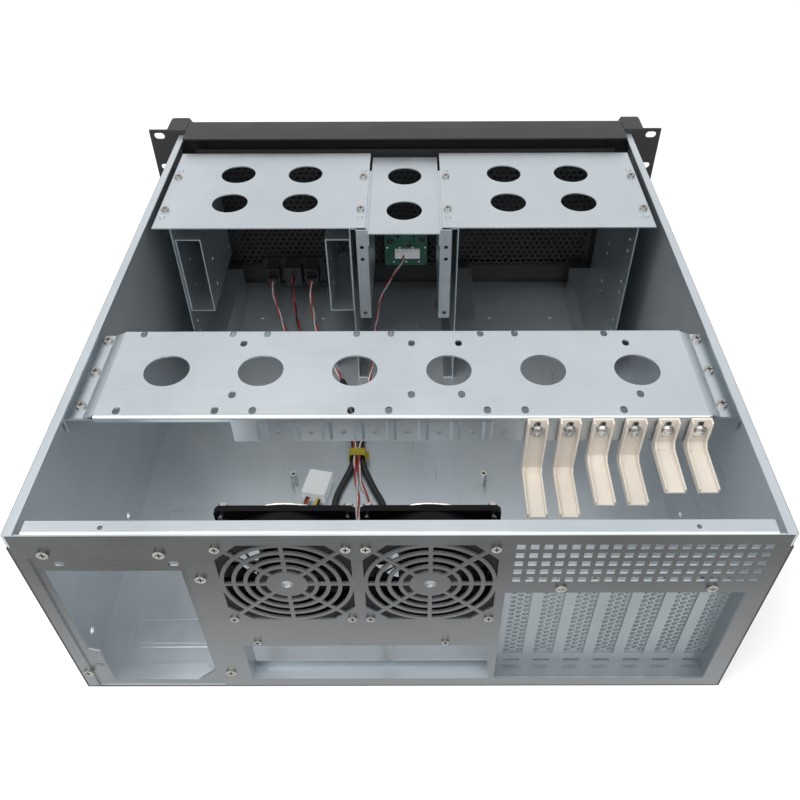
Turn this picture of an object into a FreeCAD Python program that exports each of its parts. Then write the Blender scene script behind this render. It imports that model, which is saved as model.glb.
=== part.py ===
import FreeCAD, Part
import math
import os
import Sketcher
from FreeCAD import Placement, Rotation, Vector

# An empty four-unit rackmount server case with its lid off, as an assembly of its real pieces.
# Millimetres. +X is the left-hand side seen from behind, +Y runs from the rack ears to the rear
# panel and +Z is up. The origin is on the ground under the middle of the whole case.

DIMENSIONS = {
    # folded main shell
    "case_width": 430.0, "case_depth": 464.3, "case_height": 172.0, "steel": 1.2,
    "rim_inset": 1.2, "rim_drop": 12.0, "rim_width": 5.7,
    "emboss_height": 1.0, "emboss_width": 70.0, "emboss_length": 22.0, "emboss_x": 156.0,
    "emboss_front_y": 326.0, "emboss_rear_y": 425.0,
    "wall_hole_radius": 2.6, "wall_hole_z": 24.0, "wall_hole_front_y": 337.0, "wall_hole_rear_y": 435.7,
    "bump_radius": 2.4, "bump_height": 1.0, "bump_near_x": 86.0, "bump_far_x": 149.0, "bump_y": 62.8,
    # front panel, its ears and handles
    "panel_width": 482.6, "panel_height": 177.0, "panel_steel": 2.0, "panel_lip": 18.0,
    "panel_window_width": 380.0, "panel_window_low": 14.0, "panel_window_high": 164.0,
    "ear_slot_spacing": 465.1, "ear_slot_length": 10.0, "ear_slot_width": 6.5,
    "ear_slot_low": 5.95, "ear_slot_pair": 31.75, "ear_slot_span": 165.1,
    "handle_reach": 34.0, "handle_width": 18.0, "handle_bar": 12.0, "handle_foot": 32.0,
    "handle_inner_x": 206.5, "handle_round": 5.0, "handle_edge": 2.5,
    # plastic bezel and the perforated plate behind it
    "bezel_width": 412.0, "bezel_depth": 19.0, "bezel_wall": 3.0, "bezel_round": 5.0,
    "louvre_count": 10.0, "louvre_pitch": 9.5, "louvre_height": 4.0, "louvre_length": 158.0,
    "louvre_inner_x": 28.0, "louvre_low_z": 56.0,
    "grille_back_y": 17.2, "grille_low_z": 17.0, "grille_high_z": 160.0,
    # front buttons and their switches
    "button_z": 30.0, "power_x": 138.0, "reset_x": 98.0, "power_radius": 6.5, "reset_radius": 4.5,
    "button_proud": 2.5, "button_cap": 10.0, "stem_radius": 2.4, "button_gap": 0.3, "button_travel": 2.5,
    "switch_width": 13.0, "switch_height": 20.0, "switch_depth": 14.0, "terminal_length": 7.0,
    "tail_width": 9.0, "tail_height": 6.0, "terminal_width": 2.4, "terminal_thick": 0.8,
    "terminal_rise": 6.0, "strip_reset_end": 12.0, "strip_power_end": 10.0, "strip_low": 3.0,
    "strip_high": 4.0, "port_rise": 1.0,
    "port_x": 117.0, "port_width": 17.0, "port_height": 22.0, "port_depth": 15.0,
    # rear panel
    "rear_lip": 9.5, "rear_lip_round": 2.4, "rear_lip_half": 204.0,
    "psu_cut_outer": 206.8, "psu_cut_inner": 121.0, "psu_cut_top": 150.0,
    "psu_plate_inner": 109.0, "psu_plate_top": 160.0, "psu_open_outer": 202.0, "psu_open_inner": 124.5,
    "psu_open_top": 136.5, "psu_open_low": 7.0, "psu_lip": 11.0, "psu_step_z": 45.0, "psu_step_x": 195.1,
    "psu_step_rise": 3.0, "psu_chamfer": 13.5,
    "psu_foot_slot_x": 199.6, "psu_foot_slot_z": 28.3, "psu_foot_slot_height": 3.6, "psu_slot_length": 6.4,
    "psu_slot_height": 4.8, "psu_slot_z": 143.5, "psu_slot_left_x": 191.5, "psu_slot_right_x": 127.2,
    "io_lip": 5.6, "io_depth": 14.5, "io_width": 158.75, "io_x": 21.7, "io_height": 44.45, "io_low": 9.85,
    "vent_columns": 19.0, "vent_rows": 5.0, "vent_pitch_x": 7.54, "vent_pitch_z": 7.85,
    "vent_width": 4.8, "vent_height": 4.6, "vent_first_x": -66.4, "vent_low_z": 128.6,
    "psu_screw_left_x": 196.3, "psu_screw_right_x": 132.4, "psu_screw_high_z": 155.2,
    "psu_screw_inner_x": 113.9, "psu_screw_outer_x": 208.6, "psu_screw_mid_z": 131.1,
    "psu_screw_low_z": 21.0, "slot_screw_near_x": 92.7, "slot_screw_far_x": 180.1,
    "slot_screw_z": 120.9, "lip_hole_x": 161.8, "lip_hole_radius": 1.5,
    # expansion slots
    "slot_window_inner": 60.9, "slot_window_outer": 201.9, "slot_window_top": 115.0,
    "slot_window_low": 10.5, "slot_recess": 11.1, "slot_pitch": 20.32, "slot_first_x": 73.4,
    "slot_width": 13.3, "slot_low": 24.0, "slot_high": 111.5, "slit_height": 2.6,
    "slit_width": 10.8, "slit_z": 15.2, "slot_flange": 10.8,
    "cover_width": 18.4, "cover_steel": 0.9, "cover_low": 17.5, "cover_tab": 9.6,
    "perforation": 3.7, "perforation_pitch": 4.9, "perforation_column": 4.3, "perforation_low": 27.5,
    "perforation_rows": 17.0,
    # fans
    "fan_size": 80.0, "fan_depth": 25.0, "fan_spacing": 82.5, "fan_left_x": 65.4, "fan_z": 124.0,
    "fan_bore": 38.2, "fan_duct": 39.6, "fan_flange": 4.0, "fan_chamfer": 2.5, "fan_hole_spacing": 71.5,
    "fan_hole_radius": 2.2, "fan_tip": 37.2, "fan_hub": 18.5, "fan_hub_length": 15.0,
    "fan_stator": 17.0, "fan_stator_depth": 3.0, "fan_strut": 3.0, "fan_shaft": 1.5, "fan_shaft_gap": 0.05,
    "blade_count": 7.0, "blade_chord": 21.0, "blade_thick": 1.4, "blade_pitch": 42.0,
    "blade_root": 1.5, "blade_gap": 0.4,
    "guard_half": 38.0, "guard_corner": 44.0, "guard_hub": 12.0, "guard_bar": 2.4,
    "guard_ring_first": 17.2, "guard_ring_step": 6.7, "guard_ring_count": 4.0, "guard_eye": 3.6,
    # wire guards on the inner side of the fans
    "wire_thick": 1.6, "wire_ring": 39.3, "wire_ring_step": 9.5, "wire_ring_count": 3.0,
    "wire_loop": 3.6, "wire_loop_hole": 1.9,
    # screws
    "screw_head": 3.3, "screw_head_height": 1.7, "screw_shank": 1.6, "screw_hole_gap": 0.1,
    "screw_recess": 0.7, "screw_length": 6.0, "screw_cross": 0.45,
    "screw_cross_share": 0.62,
    "fan_screw_head": 2.8, "fan_screw_length": 10.0, "small_screw_head": 2.4, "small_screw_length": 3.0,
    "small_screw_left_x": 91.0, "small_screw_right_x": -27.3, "small_screw_z": 60.2,
    # crossbar, its brackets and the clamp rail
    "bar_front_y": 287.0, "bar_rear_y": 372.4, "bar_top_z": 168.0, "bar_half": 192.0,
    "bar_rear_flange": 4.0, "bar_front_flange": 9.0,
    "bar_hole_radius": 15.0, "bar_hole_pitch": 62.0, "bar_hole_y": 329.0, "bar_slot_width": 4.6,
    "bar_slot_length": 6.4, "bar_slot_front_y": 291.6, "bar_slot_rear_y": 366.3, "bar_slot_pair": 61.7,
    "bar_slot_step": 85.4, "bar_slot_first_x": 108.4, "bar_inner_front_y": 301.6, "bar_inner_rear_y": 352.1,
    "bar_inner_a": 108.2, "bar_inner_b": -6.3, "bar_inner_c": -38.4, "bar_inner_d": -152.4,
    "bar_screw_x": 203.3, "bar_screw_front_y": 295.0, "bar_screw_step": 32.0, "bar_end_x": 207.5,
    "bar_joggle": 3.0, "bar_slope": 7.5, "bar_round": 2.4,
    "bracket_foot_z": 152.0, "bracket_reach": 3.0,
    "rail_low_z": 145.0, "rail_left_x": 107.0, "rail_right_x": -194.0, "rail_hole_z": 153.5,
    "rail_hole_first_x": 77.7, "rail_hole_count": 14.0, "rail_tab_width": 7.0,
    "rail_tab_proud": 1.5,
    # card clamps
    "clamp_first_hole": 8.0, "clamp_width": 12.9, "clamp_wall": 2.0,
    "clamp_side": 1.3, "clamp_side_height": 5.5, "clamp_top_z": 167.4,
    "clamp_reach": 40.0, "clamp_gap": 0.3, "clamp_slot_width": 4.2, "clamp_slot_low": 152.0,
    "clamp_slot_high": 165.4, "clamp_screw_z": 158.2, "clamp_long_z": 118.0, "clamp_medium_z": 130.0,
    "clamp_short_z": 142.0,
    "washer_radius": 4.6, "washer_thick": 0.8, "clamp_screw_length": 9.0,
    # drive cages
    "cage_steel": 1.0, "cage_front_y": 31.0, "cage_rear_y": 157.0, "cage_top_z": 168.0,
    "cage_outer_x": 205.0, "cage_inner_x": 31.5, "wall_outer_x": 191.5, "wall_inner_x": 44.0,
    "wall_rear_y": 155.0, "wall_foot": 8.0, "cage_hole_radius": 15.0, "cage_hole_near_x": 88.0,
    "cage_hole_far_x": 147.5, "cage_hole_front_y": 69.5, "cage_hole_rear_y": 118.0,
    "cage_screw_outer_x": 200.0, "cage_screw_inner_x": 36.4, "cage_screw_front_y": 74.3,
    "cage_screw_rear_y": 128.5, "lance_gap": 11.5, "lance_radius": 2.4, "lance_height": 1.0,
    "ledge_width": 22.0, "ledge_top_z": 39.5, "ledge_rear_y": 140.0, "bay_hole_front_y": 81.0,
    "bay_hole_rear_y": 141.0, "bay_hole_low_z": 59.8, "bay_hole_step": 43.0, "bay_hole_pair": 11.4,
    "channel_hole_front_y": 67.0, "channel_hole_rear_y": 126.0, "channel_hole_low_z": 91.0,
    "channel_hole_high_z": 117.4,
    "tower_x": 29.6, "tower_flange": 8.5, "tower_low_z": 77.5, "tower_rear_y": 160.0,
    "tower_front_y": 60.0, "tower_hole_radius": 1.7, "tower_hole_a": 151.0, "tower_hole_b": 139.3,
    "tower_hole_c": 83.0, "middle_top_z": 164.0, "middle_front_y": 31.3, "middle_rear_y": 159.5,
    "middle_skirt": 12.0, "middle_hole_front_y": 66.0, "middle_hole_rear_y": 124.0,
    "channel_width": 21.0, "channel_low_z": 78.0, "channel_high_z": 152.5, "channel_front_y": 60.0,
    "channel_rear_y": 150.0, "drive_hole_radius": 1.6,
    # indicator board
    "board_low_z": 43.0, "board_high_z": 81.0, "board_half": 21.4, "board_thick": 1.6,
    "board_boss": 10.8, "board_boss_radius": 2.6, "board_post_x": 15.6, "board_hole_x": 8.0,
    "board_hole_radius": 1.4, "board_hole_drop": 4.0, "chip_near_x": 8.0, "chip_far_x": 15.0,
    "chip_width": 4.2, "chip_height": 2.0, "chip_thick": 1.0, "chip_drop": 10.0,
    "plug_left_x": 11.1, "plug_right_x": -14.0, "plug_low_z": 55.5, "plug_high_z": 63.0, "plug_depth": 7.0,
    # main board standoffs
    "standoff_left_x": 92.1, "standoff_spacing": 157.48, "standoff_y": 287.0, "standoff_height": 15.0,
    "standoff_flats": 5.5, "standoff_bore": 1.25,
    # wiring
    "pair_radius": 1.4, "sleeve_radius": 2.7, "fan_lead_radius": 2.0, "lead_plug_length": 14.0,
    "pair_plug_width": 6.0, "pair_plug_height": 5.0, "sleeve_plug_width": 9.0, "sleeve_plug_height": 6.6,
    "lead_end_y": 345.0, "tie_wall": 1.0, "tie_width": 9.0, "tie_front_y": 256.2, "tie_low_z": 2.25,
    "tie_high_z": 12.2, "tie_left_x": 47.0, "tie_right_x": 33.6, "power_plug_width": 19.5,
    "power_plug_length": 25.0, "power_plug_height": 10.5, "power_plug_turn": -12.0,
    "power_plug_x": 72.2, "power_plug_y": 293.3,
    "power_plug_socket": 1.7,
}


class Size:
    """A length in millimetres together with the spreadsheet expression that gives it."""

    def __init__(self, value, text):
        self.value = float(value)
        self.text = text

    def __add__(self, other):
        other = as_size(other)
        return Size(self.value + other.value, f"({self.text} + {other.text})")

    def __sub__(self, other):
        other = as_size(other)
        return Size(self.value - other.value, f"({self.text} - {other.text})")

    def __mul__(self, other):
        other = as_size(other)
        return Size(self.value * other.value, f"({self.text} * {other.text})")

    def __truediv__(self, other):
        other = as_size(other)
        return Size(self.value / other.value, f"({self.text} / {other.text})")

    def __neg__(self):
        return Size(-self.value, f"(0 - {self.text})")

    def __radd__(self, other):
        return as_size(other) + self

    def __rsub__(self, other):
        return as_size(other) - self

    def __rmul__(self, other):
        return as_size(other) * self


def as_size(term):
    """A Size as it is, or a bare number turned into one."""
    if isinstance(term, Size):
        return term
    text = f"{float(term):.6f}"
    return Size(term, f"({text})" if term < 0 else text)


class Dimensions:
    """The driving dimensions: each name is a Size bound to its cell in the spreadsheet."""

    def __init__(self, document, values):
        sheet = document.addObject("Spreadsheet::Sheet", "Sheet")
        for row, (name, value) in enumerate(values.items(), start=1):
            sheet.set(f"A{row}", name)
            sheet.set(f"B{row}", str(value))
            sheet.setAlias(f"B{row}", name)
            setattr(self, name, Size(value, f"Sheet.{name}"))
        document.recompute()


doc = FreeCAD.newDocument("server_case")
d = Dimensions(doc, DIMENSIONS)
nodes = []

# The ear plane is where y = 0 would be on a drawing of the case; the origin is halfway between
# the handles' front and the rear screws' heads.
ear_y = (d.handle_reach - d.case_depth - d.screw_head_height) / 2
rear_y = ear_y + d.case_depth
rear_inside = rear_y - d.steel
floor_z = d.steel
half_width = d.case_width / 2
wall_inside = half_width - d.steel
rim_step_z = d.case_height - d.rim_drop
rim_inside = half_width - d.rim_inset - d.steel


def back(distance):
    """The y of something this far behind the ear plane."""
    return ear_y + distance


# ---- building blocks -------------------------------------------------------------------------

def bind(item, path, size):
    """Set one property of a document object and tie it to the spreadsheet."""
    item.setExpression(path, as_size(size).text)


def place(item, x, y, z, rotation=None):
    """Put an object's own origin at x, y, z, turned by a fixed rotation."""
    if rotation is not None:
        item.Placement = Placement(Vector(), rotation)
    for axis, size in zip("xyz", (x, y, z)):
        bind(item, f"Placement.Base.{axis}", size)


def block(name, x, y, z):
    """A rectangular block; x, y and z are (low, high) pairs."""
    item = doc.addObject("Part::Box", name)
    for edge, (low, high) in zip(("Length", "Width", "Height"), (x, y, z)):
        bind(item, edge, as_size(high) - as_size(low))
    place(item, x[0], y[0], z[0])
    return item


ALONG = {
    "x": Rotation(Vector(0, 1, 0), 90),
    "y": Rotation(Vector(1, 0, 0), -90),
    "z": Rotation(),
}


def rod(name, along, radius, x, y, z):
    """A round rod along one axis; the coordinate on that axis is a (low, high) pair."""
    item = doc.addObject("Part::Cylinder", name)
    spot = {"x": x, "y": y, "z": z}
    low, high = spot[along]
    spot[along] = low
    bind(item, "Radius", radius)
    bind(item, "Height", as_size(high) - as_size(low))
    place(item, spot["x"], spot["y"], spot["z"], ALONG[along])
    return item


def fuse(name, pieces):
    """Several shapes grown into one."""
    item = doc.addObject("Part::MultiFuse", name)
    item.Shapes = pieces
    item.Refine = True
    return item


def group(name, pieces):
    """Several separate solids kept together in one node."""
    item = doc.addObject("Part::Compound", name)
    item.Links = pieces
    return item


def cut(name, base, tools):
    """A shape with the tools taken out of it."""
    tool = tools[0] if len(tools) == 1 else fuse(f"{name}_tools", tools)
    item = doc.addObject("Part::Cut", name)
    item.Base = base
    item.Tool = tool
    item.Refine = True
    return item


def overlap(name, first, second):
    """What two shapes have in common."""
    item = doc.addObject("Part::Common", name)
    item.Base = first
    item.Tool = second
    return item


def finish(item, label):
    """Name a finished sub-part and keep it for export."""
    item.Label = label
    nodes.append(item)
    return item


class Drawing:
    """A sketch in a body, on one of the body's origin planes moved along its normal."""

    def __init__(self, body, name, plane, height):
        self.sketch = body.newObject("Sketcher::SketchObject", name)
        origin = [item for item in body.Origin.OriginFeatures if item.Role == f"{plane}_Plane"][0]
        self.sketch.AttachmentSupport = [(origin, "")]
        self.sketch.MapMode = "FlatFace"
        self.sketch.AttachmentOffset = Placement(Vector(0, 0, as_size(height).value), Rotation())
        bind(self.sketch, "AttachmentOffset.Base.z", height)

    def fix(self, kind, geometry, point, size):
        """Hold a point's distance from the sketch origin along one sketch axis."""
        size = as_size(size)
        index = self.sketch.addConstraint(
            Sketcher.Constraint(kind, -1, 1, geometry, point, size.value))
        self.sketch.setExpression(f"Constraints[{index}]", size.text)

    def polygon(self, corners):
        """A closed outline of straight lines through the corners."""
        corners = [(as_size(u), as_size(v)) for u, v in corners]
        first = self.sketch.GeometryCount
        count = len(corners)
        spots = [Vector(u.value, v.value, 0) for u, v in corners]
        lines = [Part.LineSegment(spots[i], spots[(i + 1) % count]) for i in range(count)]
        self.sketch.addGeometry(lines, False)
        for i in range(count):
            self.sketch.addConstraint(
                Sketcher.Constraint("Coincident", first + i, 2, first + (i + 1) % count, 1))
        for i, (u, v) in enumerate(corners):
            self.fix("DistanceX", first + i, 1, u)
            self.fix("DistanceY", first + i, 1, v)

    def rectangle(self, u, v):
        """A rectangle between (low, high) pairs."""
        self.polygon([(u[0], v[0]), (u[1], v[0]), (u[1], v[1]), (u[0], v[1])])

    def circle(self, u, v, radius):
        """A circle about u, v."""
        u, v, radius = as_size(u), as_size(v), as_size(radius)
        first = self.sketch.GeometryCount
        middle = Vector(u.value, v.value, 0)
        self.sketch.addGeometry(Part.Circle(middle, Vector(0, 0, 1), radius.value), False)
        self.fix("DistanceX", first, 3, u)
        self.fix("DistanceY", first, 3, v)
        index = self.sketch.addConstraint(Sketcher.Constraint("Radius", first, radius.value))
        self.sketch.setExpression(f"Constraints[{index}]", radius.text)

    def slot(self, u, v, width, length):
        """A round-ended slot standing along the sketch's second axis."""
        u, v, radius = as_size(u), as_size(v), width / 2
        reach = (length - width) / 2
        tops = (v + reach, v - reach)
        first = self.sketch.GeometryCount
        rise = Vector(0, 0, 1)
        half = math.pi
        arcs = []
        for index, end in enumerate(tops):
            circle = Part.Circle(Vector(u.value, end.value, 0), rise, radius.value)
            arcs.append(Part.ArcOfCircle(circle, half * index, half * (index + 1)))
        west = u.value - radius.value
        east = u.value + radius.value
        left = Part.LineSegment(Vector(west, tops[0].value, 0), Vector(west, tops[1].value, 0))
        right = Part.LineSegment(Vector(east, tops[1].value, 0), Vector(east, tops[0].value, 0))
        self.sketch.addGeometry([arcs[0], left, arcs[1], right], False)
        for index in range(4):
            self.sketch.addConstraint(
                Sketcher.Constraint("Tangent", first + index, 2, first + (index + 1) % 4, 1))
        for arc, end in zip((first, first + 2), tops):
            self.fix("DistanceX", arc, 3, u)
            self.fix("DistanceY", arc, 3, end)
        for arc in (first, first + 2):
            index = self.sketch.addConstraint(Sketcher.Constraint("Radius", arc, radius.value))
            self.sketch.setExpression(f"Constraints[{index}]", radius.text)

    def hexagon(self, u, v, flats):
        """A hexagon with two corners up and down, given across its flats."""
        side = flats / math.sqrt(3.0)
        self.polygon([(u, v + side), (u - flats / 2, v + side / 2), (u - flats / 2, v - side / 2),
                      (u, v - side), (u + flats / 2, v - side / 2), (u + flats / 2, v + side / 2)])


def new_body(name):
    """An empty PartDesign body."""
    return doc.addObject("PartDesign::Body", name)


def pad(body, drawing, length, name):
    """Grow material from a drawing along its normal."""
    item = body.newObject("PartDesign::Pad", name)
    item.Profile = drawing.sketch
    item.Length = as_size(length).value
    bind(item, "Length", length)
    return item


def pocket(body, drawing, length, name):
    """Cut material from a drawing against its normal, and check that something was cut."""
    doc.recompute()
    before = body.Shape.Volume
    item = body.newObject("PartDesign::Pocket", name)
    item.Profile = drawing.sketch
    item.Length = as_size(length).value
    bind(item, "Length", length)
    doc.recompute()
    if body.Shape.Volume > before - 1e-6:
        raise ValueError(f"{name} cuts nothing")
    return item


def repeat(body, feature, axis_role, length, count, name):
    """A row of copies of a feature along one of the body's origin axes."""
    item = body.newObject("PartDesign::LinearPattern", name)
    axis = [entry for entry in body.Origin.OriginFeatures if entry.Role == axis_role][0]
    item.Originals = [feature]
    item.Direction = (axis, [""])
    item.Length = as_size(length).value
    bind(item, "Length", length)
    item.Occurrences = count
    body.Tip = item
    return item


def extrusion(name, plane, far, length, corners):
    """A body padded from one closed outline; far is where its normal side lies."""
    body = new_body(name)
    drawing = Drawing(body, f"{name}_outline", plane, far)
    drawing.polygon(corners)
    pad(body, drawing, length, f"{name}_pad")
    return body


def screw(name, along, x, y, z, outward, head=None, length=None):
    """A pan-head screw whose head's seat is at x, y, z and whose head stands out one way."""
    head = d.screw_head if head is None else head
    length = d.screw_length if length is None else length
    spot = {"x": as_size(x), "y": as_size(y), "z": as_size(z)}
    seat = spot[along]

    def stretch(low, high):
        ends = (seat + low, seat + high) if outward > 0 else (seat - high, seat - low)
        return {**spot, along: ends}

    top = rod(f"{name}_head", along, head, **stretch(as_size(0), d.screw_head_height))
    shank = rod(f"{name}_shank", along, d.screw_shank, **stretch(-length, as_size(0)))
    whole = fuse(f"{name}_blank", [top, shank])
    slots = []
    for turn in ("a", "b"):
        wide = head * d.screw_cross_share
        thin = d.screw_cross
        spans = {}
        for axis in "xyz":
            if axis == along:
                spans[axis] = stretch(d.screw_head_height - d.screw_recess, d.screw_head_height + 1)[along]
            else:
                others = [entry for entry in "xyz" if entry != along]
                reach = wide if (axis == others[0]) == (turn == "a") else thin
                spans[axis] = (spot[axis] - reach, spot[axis] + reach)
        slots.append(block(f"{name}_cross_{turn}", spans["x"], spans["y"], spans["z"]))
    return cut(name, whole, slots)


def hole(name, along, x, y, z):
    """The clearance hole for a screw."""
    return rod(name, along, d.screw_shank + d.screw_hole_gap, x, y, z)


def mirrored(side, near, far):
    """A (low, high) pair of x values on one side of the middle; side is 1 or -1."""
    near, far = as_size(near), as_size(far)
    return (near, far) if side > 0 else (-far, -near)


def about(middle, width):
    """A (low, high) pair centred on a value."""
    return (middle - width / 2, middle + width / 2)


def signed(side, size):
    """A size on one side of the middle."""
    return as_size(size) if side > 0 else -as_size(size)


# ---- the folded main shell ---------------------------------------------------------------------

def chassis_tub():
    """Floor, side walls and folded-in rims bent from one sheet."""
    rim_outer = half_width - d.rim_inset
    rim_edge = rim_outer - d.rim_width
    top = d.case_height
    right = [(half_width, rim_step_z), (rim_outer, rim_step_z + d.rim_inset), (rim_outer, top),
             (rim_edge, top), (rim_edge, top - d.steel), (rim_inside, top - d.steel),
             (rim_inside, rim_step_z + d.rim_inset), (wall_inside, rim_step_z), (wall_inside, floor_z)]
    corners = [(-half_width, 0), (half_width, 0)] + right + [(-x, z) for x, z in reversed(right)]
    shell = extrusion("tub", "XZ", -rear_y, d.case_depth - d.panel_steel, corners)
    tools = []
    for side, y, name in ((1, d.wall_hole_front_y, "a"), (1, d.wall_hole_rear_y, "b"),
                          (-1, d.wall_hole_front_y, "c"), (-1, d.wall_hole_rear_y, "e")):
        tools.append(rod(f"tub_wall_hole_{name}", "x", d.wall_hole_radius,
                         mirrored(side, wall_inside - 1, half_width + 1), back(y), d.wall_hole_z))
    tools += [hole(f"tub_standoff_hole_{name}", "z", x, back(d.standoff_y), (-1, floor_z + 1))
              for name, x in standoff_spots()]
    pads = []
    for name, y in (("front", d.emboss_front_y), ("rear", d.emboss_rear_y)):
        low, high = about(d.emboss_x, d.emboss_width), about(d.emboss_x, d.emboss_width - 6)
        pads.append(block(f"tub_emboss_{name}", low, about(back(y), d.emboss_length),
                          (floor_z / 2, floor_z + d.emboss_height / 2)))
        pads.append(block(f"tub_emboss_{name}_top", high, about(back(y), d.emboss_length - 6),
                          (floor_z / 2, floor_z + d.emboss_height)))
    for side in (1, -1):
        for x in (d.bump_near_x, d.bump_far_x):
            pads.append(rod(f"tub_bump_{len(pads)}", "z", d.bump_radius, signed(side, x), back(d.bump_y),
                            (floor_z / 2, floor_z + d.bump_height)))
    return finish(cut("tub_cut", fuse("tub_whole", [shell] + pads), tools), "chassis_tub")


def standoff_spots():
    """The two main board standoffs' names and x positions."""
    return (("left", d.standoff_left_x), ("right", d.standoff_left_x - d.standoff_spacing))


def board_standoffs():
    """Two hexagonal posts for the main board."""
    posts = []
    for name, x in standoff_spots():
        body = new_body(f"standoff_{name}")
        drawing = Drawing(body, f"standoff_{name}_plan", "XY", floor_z)
        drawing.hexagon(x, back(d.standoff_y), d.standoff_flats)
        pad(body, drawing, d.standoff_height - floor_z, f"standoff_{name}_pad")
        posts.append(cut(f"standoff_{name}_bored", body,
                         [rod(f"standoff_{name}_bore", "z", d.standoff_bore, x, back(d.standoff_y),
                              (floor_z - 1, d.standoff_height + 1))]))
    return finish(group("standoffs", posts), "board_standoffs")


# ---- rear panel and what is fixed to it ----------------------------------------------------------

def fan_spots():
    """The two fans' names and x positions."""
    return (("left", d.fan_left_x), ("right", d.fan_left_x - d.fan_spacing))


def fan_screw_spots():
    """The eight fan screws' names, x and z."""
    spots = []
    reach = d.fan_hole_spacing / 2
    for name, x in fan_spots():
        spots += [(f"{name}_a", x - reach, d.fan_z - reach), (f"{name}_b", x + reach, d.fan_z - reach),
                  (f"{name}_c", x - reach, d.fan_z + reach), (f"{name}_e", x + reach, d.fan_z + reach)]
    return spots


def panel_screw_spots():
    """The rear panel's other screws: names, x and z."""
    return (("a", d.psu_screw_left_x, d.psu_screw_high_z), ("b", d.psu_screw_right_x, d.psu_screw_high_z),
            ("c", d.psu_screw_inner_x, d.psu_screw_mid_z), ("e", d.psu_screw_outer_x, d.psu_screw_low_z),
            ("f", d.psu_screw_inner_x, d.psu_screw_low_z),
            ("g", -d.slot_screw_near_x, d.slot_screw_z), ("h", -d.slot_screw_far_x, d.slot_screw_z))


def small_screw_spots():
    """The two small screws under the fans: names, x and z."""
    return (("small_a", d.small_screw_left_x, d.small_screw_z),
            ("small_b", d.small_screw_right_x, d.small_screw_z))


def guard_opening(name, x):
    """The air a stamped fan guard lets through: an eight-cornered window less rings and spokes."""
    reach, corner = d.guard_half, d.guard_corner * math.sqrt(2.0) - d.guard_half
    z = d.fan_z
    window = extrusion(f"{name}_window", "XZ", -(rear_y + 1), d.steel + 2,
                       [(x - corner, z - reach), (x + corner, z - reach), (x + reach, z - corner),
                        (x + reach, z + corner), (x + corner, z + reach), (x - corner, z + reach),
                        (x - reach, z + corner), (x - reach, z - corner)])
    inside, outside = rear_inside - 2, rear_y + 2
    bars = [cut(f"{name}_hub", rod(f"{name}_hub_disc", "y", d.guard_hub, x, (inside, outside), z),
                [rod(f"{name}_eye", "y", d.guard_eye, x, (inside - 1, outside + 1), z)])]
    for ring in range(int(d.guard_ring_count.value)):
        middle = d.guard_ring_first + d.guard_ring_step * ring
        bars.append(cut(f"{name}_ring_{ring}",
                        rod(f"{name}_ring_out_{ring}", "y", middle + d.guard_bar / 2, x,
                            (inside, outside), z),
                        [rod(f"{name}_ring_in_{ring}", "y", middle - d.guard_bar / 2, x,
                             (inside - 1, outside + 1), z)]))
    for turn in range(8):
        angle = math.radians(45.0 * turn)
        across, up = math.cos(angle), math.sin(angle)
        start, end = d.guard_hub - 1, d.guard_corner
        side = d.guard_bar / 2
        bars.append(extrusion(f"{name}_spoke_{turn}", "XZ", -outside, outside - inside,
                              [(x + start * across + side * up, z + start * up - side * across),
                               (x + end * across + side * up, z + end * up - side * across),
                               (x + end * across - side * up, z + end * up + side * across),
                               (x + start * across - side * up, z + start * up + side * across)]))
    return cut(f"{name}_opening", window, [fuse(f"{name}_bars", bars)])


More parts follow.
